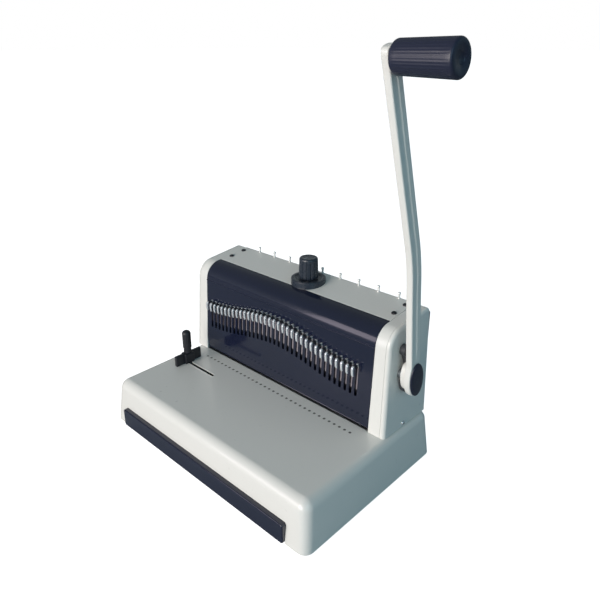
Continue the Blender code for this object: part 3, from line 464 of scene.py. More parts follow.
def pan_screw(radius, height, shank=0.0):
    """Pan head screw that stands on z = 0, with a cross recess."""
    foot = 0.05 * MM
    shares = ((0, 1), (0.45, 0.98), (0.78, 0.84), (0.95, 0.55), (1, 0.22))
    profile = [(radius * across, height * up) for across, up in shares] + [(radius, foot)]
    profile += [(radius * 0.4, foot), (radius * 0.4, -shank), (0, -shank)] if shank else [(0, foot)]
    reach, half, low, high = radius * 0.52, radius * 0.1, height * 0.45, height * 2
    bar = box((-reach, -half, low), (reach, half, high))
    cross = carve(bar, box((-half, -reach, low), (half, reach, high)), "UNION")
    return carve(turned(profile, steps=28), cross)


# ------------------------------ base

def loft_rings(rings):
    """A closed skin over rings that all have the same number of points."""
    bm = bmesh.new()
    layers = [[bm.verts.new(point) for point in ring] for ring in rings]
    count = len(layers[0])
    for lower, upper in zip(layers, layers[1:]):
        for k in range(count):
            after = (k + 1) % count
            bm.faces.new((lower[k], lower[after], upper[after], upper[k]))
    bm.faces.new(list(reversed(layers[0])))
    bm.faces.new(layers[-1])
    return to_mesh(bm)


def base_ring(z, inset, corner=12 * MM):
    """Rounded rectangle of the base at a height, pulled in by inset, with the drafts taken at that height."""
    share = min(1.0, (z - BASE_LOW.z) / (BASE_TOP - BASE_LOW.z))
    side_draft, front_draft, rear_draft = [draft * share for draft in mm(5.25, 6.65, 6.5)]
    left, right = side_draft + inset, BASE_WIDTH - side_draft - inset
    front, rear = front_draft + inset, BASE_DEPTH - rear_draft - inset
    return [Vector((x, y, z)) for x, y in round_box(left, front, right, rear, corner, 8)]


def base_edge(turn, front_radius, rear_radius, wall=0.0):
    """One ring of the base's top edge, whose radius falls from the front to the rear."""
    ends = []
    for radius in (front_radius, rear_radius):
        round_part = radius - wall
        height = BASE_TOP - wall - round_part * (1 - math.sin(turn))
        inset = wall + round_part * (1 - math.cos(turn))
        ends.append(base_ring(height, inset, max(1.2 * MM, 13 * MM - inset)))
    depth = BASE_HIGH.y - BASE_LOW.y
    return [front.lerp(rear, max(0.0, min(1.0, front.y / depth))) for front, rear in zip(*ends)]


def make_base():
    low, top, wall = BASE_LOW.z, BASE_TOP, 3 * MM
    radii = mm(12.5, 7)
    turns = [math.pi / 2 * step / 10 for step in range(11)]
    outer = [base_ring(low, 0), *[base_edge(turn, *radii) for turn in turns]]
    inner = [base_ring(low - 1 * MM, wall, 9 * MM), *[base_edge(turn, *radii, wall) for turn in turns]]
    shell = carve(loft_rings(outer), loft_rings(inner))
    marks = [FIRST_MARK + PITCH * number for number in range(PINS)]
    # Openings for the drawer and the tower, a thinner stretch under the guide's slot, the slot, the marks.
    for opening in (
        flat(round_box(*mm(27.2, -30, 346.3, 28.8, 3)), -0.02, 0.02, "XZ"),
        box(mm(18.5, 153.7, 50), mm(349.5, 236, 80)),
        flat(round_box(*mm(31, 99, 102.5, 112, 3)), top - 4 * MM, top - 1.1 * MM, "XY"),
        flat(round_box(*mm(35, 103, 98.5, 108, 1.2), 5), top - 6 * MM, top + 6 * MM, "XY"),
        gather([flat(circle(x, MARK_Y, 2.0 * MM, 18), top - 0.3 * MM, top + 1 * MM, "XY") for x in marks]),
    ):
        shell = carve(shell, opening)
    piece("base_shell", shell, CREAM, "base", "base_cover", smooth=30)
    ink = below(top, (0, 0.04), (1.8, 0.08), (1.93, 0.28), (0, 0.28))
    inks = gather([turned(ink, (x, MARK_Y), 18) for x in marks])
    piece("hole_marks", inks, MARK_INK, "base", weighted=False)
    mouth = round_box(*mm(34.8, 102.8, 98.7, 108.2, 1.3), 5)
    rim = round_box(*mm(33.9, 101.9, 99.6, 109.1, 2.2), 5)
    rim = flat(rim, top + 0.01 * MM, top + 0.28 * MM, "XY", [mouth])
    piece("slot_rim", bevel_sharp(rim, 0.09 * MM, 2), CREAM, "base")


def make_underside():
    over = Matrix.Rotation(math.pi, 4, "X")
    profile = below(0, (0, -3), (9, -3), (9, -2.2), (8.6, -0.8), (8.1, -0.2), (7.6, 0), (4.6, 0), (4.3, -0.5),
                    (3.9, -1.4), (0, -1.4))
    screw = pan_screw(2.6 * MM, 1.1 * MM)
    for node in [f"foot_{end}_{side}" for end in ("front", "rear") for side in ("left", "right")]:
        low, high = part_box(node)
        middle = (low + high) / 2 - SHIFT
        piece(f"rubber_{node}", turned(profile, (middle.x, middle.y), 40), RUBBER, "base", node)
        spot = (middle.x, middle.y, 1.38 * MM)
        piece(f"screw_{node}", moved(screw, spot, over), ZINC, "base")
    plate = flat(round_box(*mm(4.2, 4.2, 373.2, 244.7, 9)), 3.3 * MM, 4.8 * MM, "XY")
    vents = [round_box(*mm(x, 150, x + 4, 205, 1.9), 4) for x in range(150, 223, 12)]
    cuts = [box(mm(26.5, -10, 0), mm(347, 5.5, 10)), *[flat(vent, 0, 0.02, "XY") for vent in vents]]
    plate = bevel_sharp(carve(plate, gather(cuts)), 0.2 * MM, 1)
    piece("floor_plate", plate, ZINC, "base", "bottom_plate")
    screw = pan_screw(3.2 * MM, 1.6 * MM)
    for number, (x, y) in enumerate(((60, 20), (317, 20), (60, 229), (188, 229), (317, 229))):
        head = moved(screw, mm(x, y, 3.28), over)
        piece(f"floor_screw_{number + 1}", head, ZINC, "base")


def make_drawer():
    low = 5.1  # height of the tray's underside, in millimetres
    front = flat(round_box(*mm(27.5, 2.5, 346, 28.5, 3)), -3.5 * MM, 4.5 * MM, "XZ")
    front = bevel_where(front, lambda co: co.y < -3.4 * MM, 1.6 * MM, 5)
    tray = box(mm(32, 4, low), mm(341, 182, 26))
    tray = bevel_where(tray, lambda co: co.z < low * MM + 1e-6, 2.5 * MM, 4)
    hollow = box(mm(33.8, 6.5, low + 1.8), mm(339.2, 180.2, 50))
    hollow = bevel_where(hollow, lambda co: co.z < 40 * MM, 2.5 * MM, 4)
    drawer = carve(carve(front, tray, "UNION"), hollow)
    ribs = [box(mm(x, 6.4, low + 1.7), mm(x + 1.4, 180.3, low + 4.4)) for x in (109.5, 185.8, 262)]
    drawer = carve(drawer, gather(ribs), "UNION")
    piece("drawer", drawer, NAVY, "drawer", "chip_drawer", smooth=32)


# ------------------------------ tower

def cover_steps(width):
    """Steps (across, inset) of a side cover: soft inner corner, seam of its two shells, wide outer corner."""
    edge, seam = 4.5 * MM, 17.8 * MM
    steps = [mm(*step) for step in ((0.0, 0.6), (0.2, 0.2), (0.7, 0.0))]
    groove = ((-0.45, 0), (-0.3, 0.1), (0, 0.8), (0.3, 0.1), (0.45, 0))
    steps += [(seam + offset * MM, depth * MM) for offset, depth in groove]
    for step in range(11):
        turn = math.pi / 2 * step / 10
        steps.append((width - edge * (1 - math.sin(turn)), edge * (1 - math.cos(turn))))
    return steps


def make_side_covers():
    foot, wall = BASE_TOP + GAP, 8.5 * MM
    for name, outer, inner, node in (
        ("left_cover", OUTER_LEFT, INNER_LEFT, "left_side_cover"),
        ("right_cover", OUTER_RIGHT, INNER_RIGHT, "right_side_cover"),
    ):
        side = 1 if outer > inner else -1
        width = abs(outer - inner)
        rings = []
        for across, inset in cover_steps(width):
            outline = cover_outline(inset, foot)
            rings.append([(inner + side * across * (1 - lean_in(z, foot) / width), y, z) for y, z in outline])
        ends = sorted((outer - side * wall, inner - side * 0.01))
        mesh = carve(loft_rings(rings), flat(side_outline(3 * MM, foot - 0.01), *ends, "YZ"))
        if side > 0:
            mesh = carve(mesh, flat(circle(*SHAFT, 6.6 * MM), outer - 0.02, outer + 0.02, "YZ"))
        piece(name, mesh, CREAM, "base", node, smooth=30)
    head = along_x(pan_screw(3.2 * MM, 1.9 * MM, shank=5 * MM), 0, 0)
    height = 69.5 * MM
    head = moved(head, (OUTER_RIGHT - lean_in(height, foot), 192 * MM, height))
    piece("cover_screw", head, CHROME, "base", "side_screw")


def make_hood():
    left, right = INNER_LEFT + GAP, INNER_RIGHT - GAP
    lip, sheet, steps = 178.3 * MM, 2 * MM, 24
    outer, inner = side_outline(0, BASE_TOP, steps), side_outline(sheet, BASE_TOP, steps)
    bend = slice(1, steps + 2)
    # The hood's lower edge is rolled out a little, which catches the light as a thin line.
    roll = ((0.2, 0), (-0.6, 0.3), (-0.9, 0.9), (-0.6, 1.5))
    section = [(tower_front(lip) + out * MM, lip + up * MM) for out, up in roll]
    section += [(tower_front(lip + 2.2 * MM), lip + 2.2 * MM), *outer[bend], (ROOF_START, SHOULDER)]
    section += [(ROOF_START, SHOULDER - sheet), *reversed(inner[bend]), (tower_front(lip) + sheet, lip)]
    hood = flat(section, left, right, "YZ")
    hood = bevel_where(hood, lambda co: at_ends(co, left, right), 0.25 * MM, 1)
    piece("curved_hood", hood, NAVY, "base", "front_hood", smooth=35)


def panel_front(z):
    return tower_front(z) + 0.5 * MM


def make_panel():
    left, right = INNER_LEFT + GAP, INNER_RIGHT - GAP
    lip, crease, top, sheet = mm(68.0, 86, 178, 2)
    foot_y, half_slot = mm(154.5, 2.1)
    roll = ((0, 0), (-0.5, 0.25), (-0.75, 0.8), (-0.5, 1.35), (0.1, 1.7))
    section = [(foot_y + out * MM, lip + up * MM) for out, up in roll]
    for z in mm(84.6, 85.4, 86.4, 87.6):
        straight = foot_y + (panel_front(crease) - foot_y) * (z - lip) / (crease - lip)
        section.append((max(straight, panel_front(z)) + 0.15 * MM, z))
    section += [(panel_front(top), top), (panel_front(top) + sheet, top)]
    section += [(panel_front(crease) + sheet, crease), (foot_y + sheet, lip)]
    slots = []
    for x in PIN_XS:
        low, high = 105 * MM + arch(x), 150.7 * MM + arch(x)
        slots.append(flat(round_box(x - half_slot, low, x + half_slot, high, 2.0 * MM, 5), 0.14, 0.18, "XZ"))
    panel = carve(flat(section, left, right, "YZ"), gather(slots))
    piece("slotted_panel", panel, NAVY, "base", "front_panel", smooth=28)


def fingers(section, half, rounding, segments):
    """A bar of this section, drawn in the side plane, at every place in the arched row."""
    bar = bevel_sharp(flat(section, -half, half, "YZ"), rounding, segments, 50)
    return [moved(bar, (x, 0, arch(x))) for x in PIN_XS]


def make_fingers():
    """Bright hooks with a crowned front bar, on one arched rail."""
    rear, front, face = mm(163.6, 161.6, 146.0)
    top, tip, tail = mm(149.5, 136.0, 112.0)
    half, behind = mm(1.5, 2.5)  # half a finger's width, and from the panel's face to a shank's
    start, end = PIN_XS[0] - 5 * MM, PIN_XS[-1] + 5 * MM
    xs = [start + (end - start) * step / 64 for step in range(65)]
    rail = [(x, top + 1.5 * MM + arch(x)) for x in xs] + [(x, top + 9.5 * MM + arch(x)) for x in reversed(xs)]
    neck, root, under = face + 3.6 * MM, panel_front(top) - 1.6 * MM, top - 3.2 * MM
    shank = panel_front(top) + behind
    section = [(rear - GAP, top - 7 * MM), (rear - GAP, top + 5 * MM), (front + 0.2 * MM, top + 5 * MM),
               (front + 0.2 * MM, top), (root, top), (root, under), (shank, under), (shank, top - 7 * MM)]
    parts = [flat(rail, front, rear, "XZ"), *fingers(section, half, 0.4 * MM, 2)]
    section = [(neck, top)]
    for turn in range(0, 91, 18):
        angle = math.radians(turn)
        section.append((face + 3 * MM - 3 * MM * math.sin(angle), top - 3 * MM + 3 * MM * math.cos(angle)))
    section.append((face + 0.05 * MM, top - 6 * MM))
    nose = ((0.25, 4), (0.7, 1.6), (1.3, 0.3), (2.0, 0), (2.5, 1))
    section += [(face + y * MM, tip + z * MM) for y, z in nose]
    section += [(face + 2.5 * MM, top - 4.4 * MM), (neck, under)]
    parts += fingers(section, half, 0.45 * MM, 3)
    piece("comb_hooks", gather(parts), SATIN_ZINC, "punch", "comb_fingers", smooth=40)
    # The arm between the slot and the front bar gets the dark steel as painted shade, so it is darker than
    # its two ends.
    near, far, low, high = neck - 0.2 * MM, root + 0.2 * MM, top - 3.1 * MM, top - 0.15 * MM
    bridges = fingers([(near, high), (far, high), (far, low), (near, low)], 1.35 * MM, 0.4 * MM, 2)
    piece("comb_bridges_painted_shade", gather(bridges), DARK_STEEL, "punch", smooth=40)
    # The shanks get the darker, pinker steel: painted shade behind the panel and a painted warm reflection.
    high, foot = top - 7.1 * MM, panel_front(tail) + behind
    section = [(rear - GAP, tail), (rear - GAP, high), (panel_front(high) + behind, high),
               (foot, tail + 1.5 * MM), (foot + 1 * MM, tail)]
    shanks = fingers(section, half, 0.4 * MM, 3)
    piece("comb_shanks", gather(shanks), SHANK_STEEL_PAINTED_SHADE, "punch", smooth=40)


def make_top_cover():
    start, end, sheet, skirt = 187.3 * MM, TOWER_REAR, 1.6 * MM, 203.3 * MM
    upper = ((start, tower_top(start), 0.5 * MM), (end, tower_top(end), 3 * MM), (end, skirt, 0))
    lower = ((end - sheet, skirt, 0), (end - sheet, tower_top(end) - sheet, 1.4 * MM),
             (start, tower_top(start) - sheet, 0))
    cover = flat(rounded((*upper, *lower), 6), INNER_LEFT + GAP, INNER_RIGHT - GAP, "YZ")
    cover = carve(cover, flat(circle(*KNOB, 5 * MM), 0.19, 0.22, "XY"))
    piece("roof_plate", cover, CREAM, "base", "top_cover", smooth=30)
    slope = Matrix.Rotation(math.atan(ROOF_SLOPE), 4, "X")
    screw = pan_screw(3.5 * MM, 2.1 * MM)
    for side, x in (("left", 33 * MM), ("right", 335 * MM)):
        for row, y in (("front", 204 * MM), ("rear", 228.5 * MM)):
            head = moved(screw, (x, y, tower_top(y)), slope)
            piece(f"roof_screw_{row}_{side}", head, BLACK, "base", f"top_screw_{row}_{side}")
    profile = below(9 * MM, (0, 0), (1.0, 0.2), (1.75, 0.7), (2.15, 1.6), (2.15, 2.4), (1.8, 3.1),
                    (1.45, 3.6), (1.45, 7.7), (1.9, 8.1), (2.0, 8.9), (1.2, 8.9), (1.2, 12), (0, 12))
    peg = turned(profile, steps=24)
    for number in range(PEGS):
        spot = (FIRST_PEG + PEG_PITCH * number, PEG_Y, tower_top(PEG_Y))
        piece(f"chrome_peg_{number + 1}", moved(peg, spot), PEG_METAL, "base", f"hanger_peg_{number + 1}")


# ------------------------------ handle

def smooth_max(a, b, reach):
    """The larger of two values, with a soft change from one to the other."""
    share = max(0.0, min(1.0, 0.5 + (a - b) / (2 * reach)))
    return b * (1 - share) + a * share + reach * share * (1 - share)


def arm_spine():
    """Points on the arm's middle line, from the hub's foot to the arm's top, closer together at both ends."""
    hub, bend, top = Vector(SHAFT), Vector(ARM_BEND), Vector(GRIP_AXIS)
    first, second = (bend - hub).normalized(), (top - bend).normalized()
    reach, beyond = 26 * MM, ARM_HALF + 1.5 * MM  # of the bend's curve, and above the grip's axis
    spine = [hub - first * (HUB[1] - rise) for rise in mm(0, 0.25, 1, 2.2, 4, 6.5, 10, 14, 19)]
    spine += [hub + first * ((bend - hub).length - reach) * (k / 22) for k in range(23)]
    start, end = bend - first * reach, bend + second * reach
    for t in [k / 8 for k in range(1, 9)]:
        spine.append(start * (1 - t) ** 2 + bend * 2 * t * (1 - t) + end * t**2)
    spine += [end + second * ((top - bend).length - reach) * (k / 18) for k in range(1, 19)]
    return spine + [top + second * beyond * share for share in (0.3, 0.55, 0.7, 0.8, 0.88, 0.94, 0.98, 1.0)]


def arm_width(along, rest):
    """Half the arm's width, at one distance from the hub's middle and another from the arm's top."""
    bar = ARM_HALF if rest > ARM_HALF else ARM_HALF * max(0.0, 1 - (1 - rest / ARM_HALF) ** 3.4) ** (1 / 3.4)
    disc = HUB[0] * math.sqrt(max(0.0, 1 - (along / HUB[1]) ** 2)) if along < HUB[1] else 0.0
    return max(0.6 * MM, disc if along < 0 else smooth_max(disc, bar, 3.2 * MM))


def arm_section(along, rest):
    """Points (across, x) round the arm, with rounded edges and a shallow channel in its outer face."""
    width = arm_width(along, rest)
    edge = min(1.6 * MM, width * 0.6)
    groove = 1.0 * MM * max(0.0, min(1.0, (along - 24 * MM) / (16 * MM), (rest - 14 * MM) / (10 * MM)))

    def rounding(side, face, inwards, turns):
        for angle in [math.radians(turn) for turn in turns]:
            across = side * (width - edge * (1 - math.cos(angle)))
            points.append((across, face + inwards * edge * (1 - math.sin(angle))))

    points = [(-width, ARM_INNER + edge), (-width, ARM_OUTER - edge)]
    rounding(-1, ARM_OUTER, -1, (22, 45, 68, 90))
    channel = ((-0.86, 0), (-0.7, 1), (-0.3, 1), (0.08, 1), (0.16, 0.5), (0.24, 0), (0.86, 0))
    points += [(share * (width - edge), ARM_OUTER - groove * depth) for share, depth in channel]
    rounding(1, ARM_OUTER, -1, (90, 68, 45, 22))
    points += [(width, ARM_OUTER - edge), (width, ARM_INNER + edge)]
    rounding(1, ARM_INNER, 1, (30, 60, 90))
    rounding(-1, ARM_INNER, 1, (90, 60, 30))
    return points


def make_handle_arm():
    """One bar that widens into the hub, and the round boss behind it."""
    spine = arm_spine()
    strides = [0.0, *[(after - before).length for before, after in zip(spine, spine[1:])]]
    total = sum(strides)
    rings = []
    travelled = 0.0
    for index, point in enumerate(spine):
        travelled += strides[index]
        ahead = spine[min(index + 1, len(spine) - 1)] - spine[max(index - 1, 0)]
        across = Vector((ahead.y, -ahead.x)).normalized()
        lean = TOP_LEAN * max(0.0, (point.y - LEAN_START) / (GRIP_AXIS[1] - LEAN_START))
        section = arm_section(travelled - HUB[1], total - travelled)
        rings.append([(x + lean, point.x + across.x * u, point.y + across.y * u) for u, x in section])
    bm = from_mesh(loft_rings(rings))
    bmesh.ops.remove_doubles(bm, verts=bm.verts, dist=2e-6)
    hole = circle(*SHAFT, SHAFT_HOLE)
    arm = carve(to_mesh(bm), flat(hole, 0.36, ARM_OUTER - 4.5 * MM, "YZ"))
    boss = flat(hub_oval(10.8 * MM, 18.5 * MM), 370.5 * MM, 379 * MM, "YZ")
    boss = bevel_where(boss, lambda co: co.x < 371 * MM, 0.8 * MM, 2)
    boss = carve(boss, flat(hole, 0.36, 0.38, "YZ"))
    piece("lever_arm", gather([arm, boss]), CREAM, "handle", "handle_arm", smooth=33)


def arc(centre, radius, start, end, count):
    """Points on a circle in the side plane, from one angle in degrees to another."""
    turns = [math.radians(start + (end - start) * k / count) for k in range(count + 1)]
    return [(centre[0] + radius * math.cos(turn), centre[1] + radius * math.sin(turn)) for turn in turns]


def make_hub():
    half_width, half_height, rim, crown = mm(13, 22, 1.0, 0.65)
    low, high = ARM_OUTER + GAP, ARM_OUTER + 2.3 * MM
    # The cap's rings: its edge, its rounded rim and the slight dome of its outer face.
    rings = []
    for scale, x in (
        (1.0, low),
        (1.0, high - rim),
        (1 - 0.25 * rim / half_width, high - 0.45 * rim),
        (1 - 0.9 * rim / half_width, high - 0.1 * rim),
        (0.72, high + crown * 0.45),
        (0.45, high + crown * 0.8),
        (0.2, high + crown),
    ):
        rings.append([(x, y, z) for y, z in hub_oval(half_width * scale, half_height * scale, 56)])
    piece("hub_lid", loft_rings(rings), NAVY_SATIN, "handle", "hub_cap", smooth=50)
    back, front = OUTER_RIGHT + GAP, 370.2 * MM
    # A small lobe above the hub and a large one below it, which is notched round the shaft.
    upper, lower = mm(184.5, 176), mm(195, 132)
    outline = arc(upper, 7 * MM, -80, 250, 33) + arc(lower, 16 * MM, 105, 112, 1)
    outline += arc(SHAFT, 6.6 * MM, 12, -102, 12) + arc(lower, 16 * MM, 158, 436, 28)
    plate = flat(outline, back, front, "YZ")
    plate = bevel_where(plate, lambda co: co.x > 370 * MM, 1.1 * MM, 3)
    for vert in plate.vertices:
        if vert.co.x < back + 1e-6:
            vert.co.x -= lean_in(vert.co.z, BASE_TOP)
    piece("hub_plate", plate, GREY_PLATE, "base", "hub_escutcheon")


def make_grip():
    start, end = 390.9 * MM, 452 * MM

    def ribs(turn, radius, height):
        fade = min(1.0, (height - start - 2.5 * MM) / (3 * MM), (end - 3.0 * MM - height) / (2 * MM))
        crest = 0.5 + 0.5 * math.cos(turn * 36)
        return -0.3 * MM * (1 - crest**0.6) * max(0.0, fade) if radius > 12 * MM else 0.0

    profile = below(end, (0, 1.2), (4.8, 1.2), (5.2, 0.9), (5.7, 0.1), (13.2, 0))
    for angle in [math.radians(turn) for turn in range(0, 91, 15)]:
        profile.append((14.1 * MM + 2.6 * MM * math.sin(angle), end - 2.6 * MM + 2.6 * MM * math.cos(angle)))
    for share in [step / 12 for step in range(1, 13)]:
        profile.append((16.7 * MM - 1.3 * MM * share, end - 2.6 * MM - (end - start - 4.6 * MM) * share))
    profile += below(start, (15.1, -1.0), (14.5, -0.3), (13.4, 0), (5.3, 0)) + below(end, (5.3, 2), (0, 2))
    grip = along_x(turned(profile, steps=144, wave=ribs), *GRIP_AXIS)
    piece("ribbed_grip", grip, NAVY_SATIN, "hand_grip", "grip", smooth=60, weighted=False)
    axle = [mm(*point) for point in ((0, 449.4), (4.3, 449.4), (5.0, 448.8), (5.0, 378), (0, 378))]
    rod = along_x(turned(axle, steps=40), *GRIP_AXIS)
    piece("grip_bolt", rod, DARK_STEEL, "handle", "grip_spindle")


# ------------------------------ adjuster and side guide

def make_adjuster():
    x, y = KNOB
    top = 214.4 * MM
    bezel = below(top, (4.4, 1.6), (17.6, 1.6), (18.2, 1.2), (19.4, 0.2), (20.2, 0), (22.8, 0), (23.5, 0.2),
                  (24, 0.8), (24, 6), (4.4, 6), (4.4, 1.6))
    ring = turned(bezel, KNOB, 96)
    for vert in ring.vertices:
        if vert.co.z < top - 4 * MM:
            vert.co.z = tower_top(vert.co.y) + GAP
    piece("dial_bezel", ring, KNOB_NAVY, "base", "adjuster_bezel", smooth=50)
    low, high = top + GAP, 243.5 * MM

    def flutes(turn, radius, height):
        if radius < 11 * MM or height > high - 3 * MM:
            return 0.0
        share = (turn / (2 * math.pi) * 14) % 1.0
        dip = math.sin(math.pi * (share - 0.5) / 0.5) ** 0.8 if share > 0.5 else 0.0
        return -1.15 * MM * dip * min(1.0, (high - 3 * MM - height) / (2.5 * MM))

    profile = below(high, (0, 0.5), (7, 0.5), (8.6, 0.4), (9.4, 0), (10.6, 0), (11.9, 0.6), (12.6, 1.6),
                    (12.8, 3))
    for share in [step / 10 for step in range(1, 11)]:
        profile.append((12.8 * MM + 0.7 * MM * share, high - 3 * MM - (high - low - 3.4 * MM) * share))
    profile += below(low, (13.2, 0), (4.3, 0), (4.3, -14.8), (0, -14.8))
    knob = turned(profile, KNOB, 168, flutes)
    piece("fluted_knob", knob, KNOB_NAVY, "knob", "adjuster_knob", smooth=48, weighted=False)
    pointer = box((x - 0.5 * MM, y - 9.6 * MM, high - 0.52 * MM), (x + 0.5 * MM, y - 3 * MM, high - 0.3 * MM),
                  0.08 * MM, 1)
    piece("knob_pointer", pointer, CHROME, "knob")


def make_side_guide():
    x, y = GUIDE
    low, top = BASE_TOP + GAP, 81 * MM
    fence = box((x - 2.5 * MM, 83 * MM, low), (x + 2.5 * MM, 128 * MM, top), 0.9 * MM, 3)
    boss = box((x - 6 * MM, y - 8 * MM, low), (x + 6 * MM, y + 8 * MM, top - 0.5 * MM), 1.1 * MM, 3)
    guide = carve(fence, boss, "UNION")
    guide = carve(guide, flat(circle(x, y, 2.5 * MM, 24), BASE_TOP - 0.01, BASE_TOP + 0.03, "XY"))
    piece("guide_plate", guide, BLACK, "side_guide", "guide_fence", smooth=35)
    foot, head, radius = top + GAP, 117 * MM, 6.5 * MM

    def flutes(turn, reach, height):
        if reach < 6 * MM or height > head - 5.5 * MM:
            return 0.0
        fade = min(1.0, (head - 5.5 * MM - height) / (2 * MM))
        return -0.45 * MM * (0.5 - 0.5 * math.cos(turn * 16)) * fade

    profile = [(0, head)]
    for angle in [math.radians(turn) for turn in range(15, 91, 15)]:
        profile.append((radius * math.sin(angle) ** 0.9, head - 5 * MM + 5 * MM * math.cos(angle)))
    profile += below(head, (6.5, 8), (6.5, 14))
    profile += below(foot, (6.5, -10), (6.3, -8), (5.7, -6.5), (5.7, 0), (2.2, 0)) + [mm(2.2, 50), mm(0, 50)]
    post = turned(profile, GUIDE, 96, flutes)
    piece("guide_knob", post, BLACK, "side_guide", "guide_post", smooth=45, weighted=False)


# ------------------------------ rear closer

def along_rear(inner, low, high, low_radius, high_radius, steps, rounding):
    """A bar along the tower's rear, whose outer edges have the given radii. Rounding is that of its ends."""
    left, right = mm(8, 358)
    outer = ((REAR_FACE, low, low_radius), (REAR_FACE, high, high_radius))
    bar = flat(rounded(((inner, low, 0), *outer, (inner, high, 0)), steps), left, right, "YZ")
    return bevel_where(bar, lambda co: at_ends(co, left, right) and co.y > inner + 1e-6, rounding, 3)


def make_rear():
    inner = TOWER_REAR + GAP
    cover = along_rear(inner, *mm(150, 203, 1.5, 4), 6, 1.2 * MM)
    grooves = [round_box(*mm(60, z, 306, z + 2.4, 1.1), 4) for z in (166, 172, 178)]
    for groove in grooves:
        cover = carve(cover, flat(groove, REAR_FACE - 0.9 * MM, REAR_FACE + 0.01, "XZ"))
    piece("rear_shield", cover, NAVY, "base", "rear_cover", smooth=32)
    screw, turn = pan_screw(3.4 * MM, 1.6 * MM), Matrix.Rotation(-math.pi / 2, 4, "X")
    for number, (x, z) in enumerate(((20, 158), (20, 194), (346, 158), (346, 194))):
        head = moved(screw, (x * MM, REAR_FACE - 1.62 * MM, z * MM), turn)
        piece(f"rear_screw_{number + 1}", head, ZINC, "base")

    inner += 0.5 * MM
    nose = SHAFT[1] + 11.8 * MM
    bracket = [mm(*point) for point in ((245.5, 115), (236, 115), (236, 171), (178, 171), (178, 163))]
    bracket += [(SHAFT[0] + y * MM, nose + z * MM) for y, z in ((-0.6, 0.4), (0, 0), (0.6, 0.4))]
    bracket += [mm(*point) for point in ((186, 163), (227, 162), (227, 103), (245.5, 103))]
    arms = [bevel_sharp(flat(bracket, x * MM, (x + 3) * MM, "YZ"), 0.3 * MM, 1) for x in (60, 305)]
    bar = carve(along_rear(inner, *mm(100, 118, 5, 3), 7, 0.9 * MM), gather(arms), "UNION")
    piece("press_bar", bar, NAVY_SATIN, "closer", "closer_bar", smooth=32)

    bridge = [mm(*point) for point in ((198, 158), (236, 158), (236, 133), (245.5, 133), (245.5, 142),
                                       (240, 142), (240, 162), (198, 162))]
    bridge = bevel_sharp(flat(bridge, KNOB[0] - 20 * MM, KNOB[0] + 20 * MM, "YZ"), 0.4 * MM, 2)
    anvil = carve(along_rear(inner, *mm(130.5, 145, 2, 3), 7, 0.9 * MM), bridge, "UNION")
    anvil = carve(anvil, flat(circle(*KNOB, 4.3 * MM), 0.15, 0.17, "XY"))
    piece("press_anvil", anvil, NAVY_SATIN, "jaw", "closer_anvil", smooth=32)


# ------------------------------ inside

def finish_cad_node(name, material, width):
    """Keeps a CAD node's own shape, with softened edges and a better material."""
    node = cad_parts[name]
    weld = node.modifiers.new("weld", "WELD")
    weld.merge_threshold = 0.01 * MM
    rounding = node.modifiers.new("soft_edges", "BEVEL")
    rounding.limit_method = "ANGLE"
    rounding.angle_limit = math.radians(35)
    rounding.width = width
    rounding.segments = 2
    for material_slot in node.material_slots:
        material_slot.material = material


def coil(middle, low, high, radius, wire, turns, steps=24, sides=10):
    """Spring wire wound upwards round a vertical axis, as one closed tube."""
    rings = []
    rise = (high - low) / (turns * steps)
    for number in range(turns * steps + 1):
        turn = 2 * math.pi * number / steps
        out = Vector((math.cos(turn), math.sin(turn), 0))
        along = Vector((-out.y * radius, out.x * radius, rise * steps / (2 * math.pi))).normalized()
        up = out.cross(along)
        centre = Vector((middle.x, middle.y, low + rise * number)) + out * radius
        spokes = [2 * math.pi * k / sides for k in range(sides)]
        rings.append([centre + (out * math.cos(spoke) + up * math.sin(spoke)) * wire for spoke in spokes])
    return loft_rings(rings)


def make_springs():
    """Return springs that stand on the guide plate, as fixed coils; the real ones shorten as the punch drops.
    """
    wire, turns = 0.7 * MM, 5
    for side in ("left", "right"):
        low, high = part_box(f"return_spring_{side}")
        middle = (low + high) / 2 - SHIFT
        radius = (high.x - low.x) / 2 - wire
        mesh = coil(middle, low.z + wire, high.z - wire, radius, wire, turns)
        spring = piece(f"coil_spring_{side}", mesh, ZINC, "base", f"return_spring_{side}",
                       smooth=60, weighted=False)
        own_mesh(spring)


def make_inside():
    for name in ("die_plate", "pin_guide_plate", "paper_stop", "left_frame", "right_frame", "drive_shaft",
                 "left_pinion", "right_pinion", "closer_cam_left", "closer_cam_right", "adjuster_spindle"):
        finish_cad_node(name, STEEL, 0.2 * MM)
    for name in ("punch_pins", "punch_beam", "guide_clamp_nut", "adjuster_nut"):
        finish_cad_node(name, DARK_STEEL, 0.2 * MM)
    for name in ("left_bush", "right_bush"):
        finish_cad_node(name, BRONZE, 0.3 * MM)
    finish_cad_node("rear_wall", CREAM, 0.2 * MM)
    make_springs()


make_base()
make_underside()
make_drawer()
make_side_covers()
make_hood()
make_panel()
make_fingers()
make_top_cover()
make_handle_arm()
make_hub()
make_grip()
make_adjuster()
make_side_guide()
make_rear()
make_inside()


# ------------------------------ stage and camera

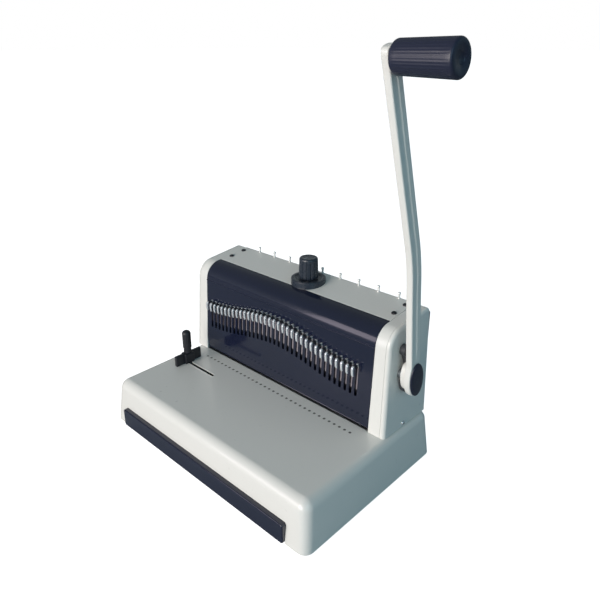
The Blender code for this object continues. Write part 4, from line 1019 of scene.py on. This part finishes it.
def make_stage():
    """A white floor for the camera, which lights the machine only as much as a grey table does."""
    bm = bmesh.new()
    bmesh.ops.create_grid(bm, x_segments=1, y_segments=1, size=40.0)
    floor = bpy.data.objects.new("floor", to_mesh(bm, fix=False))
    material, tree, shader = shader_graph("pale_floor")
    shader.inputs["Base Color"].default_value = (0.86, 0.86, 0.86, 1)
    shader.inputs["Roughness"].default_value = 0.9
    shader.inputs["Specular IOR Level"].default_value = 0.0
    shader.inputs["Emission Color"].default_value = (1, 1, 1, 1)
    shader.inputs["Emission Strength"].default_value = 0.93
    table = tree.nodes.new("ShaderNodeBsdfDiffuse")
    table.inputs["Color"].default_value = (0.40, 0.43, 0.45, 1)
    seen = tree.nodes.new("ShaderNodeLightPath")
    choice = tree.nodes.new("ShaderNodeMixShader")
    tree.links.new(seen.outputs["Is Camera Ray"], choice.inputs["Fac"])
    tree.links.new(table.outputs["BSDF"], choice.inputs[1])
    tree.links.new(shader.outputs["BSDF"], choice.inputs[2])
    tree.links.new(choice.outputs["Shader"], tree.nodes["Material Output"].inputs["Surface"])
    floor.data.materials.append(material)
    floor.location.z = -0.0004
    bpy.context.scene.collection.objects.link(floor)


def make_world():
    """A white backdrop for the camera, in a room that dims from grey at the horizon to darker overhead."""
    world = bpy.data.worlds.new("studio")
    bpy.context.scene.world = world
    world.use_nodes = True
    tree = world.node_tree
    place = tree.nodes.new("ShaderNodeTexCoord")
    split = tree.nodes.new("ShaderNodeSeparateXYZ")
    tree.links.new(place.outputs["Generated"], split.inputs["Vector"])
    ramp = tree.nodes.new("ShaderNodeValToRGB")
    ramp.color_ramp.interpolation = "EASE"
    stops = ramp.color_ramp.elements
    stops[0].position, stops[0].color = 0.05, (0.34, 0.38, 0.40, 1)
    stops[1].position, stops[1].color = 0.6, (0.19, 0.215, 0.225, 1)
    tree.links.new(split.outputs["Z"], ramp.inputs["Fac"])
    # The room is cooler and dimmer towards the handle's side.
    side = spread(tree, split.outputs["X"], 0, 1, 0.0, 0.5)
    room = blend_colours(tree, side, ramp.outputs["Color"], (0.50, 0.78, 0.92), "MULTIPLY")
    seen = tree.nodes.new("ShaderNodeLightPath")
    colour = blend_colours(tree, seen.outputs["Is Camera Ray"], room, (1, 1, 1))
    tree.links.new(colour, tree.nodes["Background"].inputs["Color"])


def make_light(name, spot, aim, size, power, colour):
    data = bpy.data.lights.new(name, "AREA")
    data.shape = "RECTANGLE"
    data.size, data.size_y = size
    data.energy = power
    data.color = colour
    light = bpy.data.objects.new(name, data)
    light.location = spot
    light.rotation_euler = (Vector(aim) - Vector(spot)).to_track_quat("-Z", "Y").to_euler()
    bpy.context.scene.collection.objects.link(light)


def make_camera():
    bpy.context.scene.view_settings.view_transform = "Standard"
    data = bpy.data.cameras.new("camera")
    data.sensor_width = 36.0
    data.lens = 35.32
    data.shift_y = -0.0467
    camera = bpy.data.objects.new("camera", data)
    camera.location = SHIFT + Vector((696.87, -348.25, 514.55)) * MM
    camera.rotation_euler = (math.pi / 2 - 0.3718, 0, 0.7545)
    bpy.context.scene.collection.objects.link(camera)
    bpy.context.scene.camera = camera


make_stage()
make_world()
make_light("key", (-0.2, -3.2, 0.95), (0.0, 0.0, 0.2), (2.5, 1.7), 108.0, (1.0, 0.930, 0.885))
make_light("side", (2.2, -1.1, 1.15), (0.1, 0.0, 0.3), (1.2, 1.6), 8.0, (0.45, 0.85, 1.0))
make_light("card", (-1.62, -2.5, 0.72), (0.09, -0.03, 0.2), (0.55, 1.25), 6.0, (1.0, 0.88, 1.0))
make_camera()
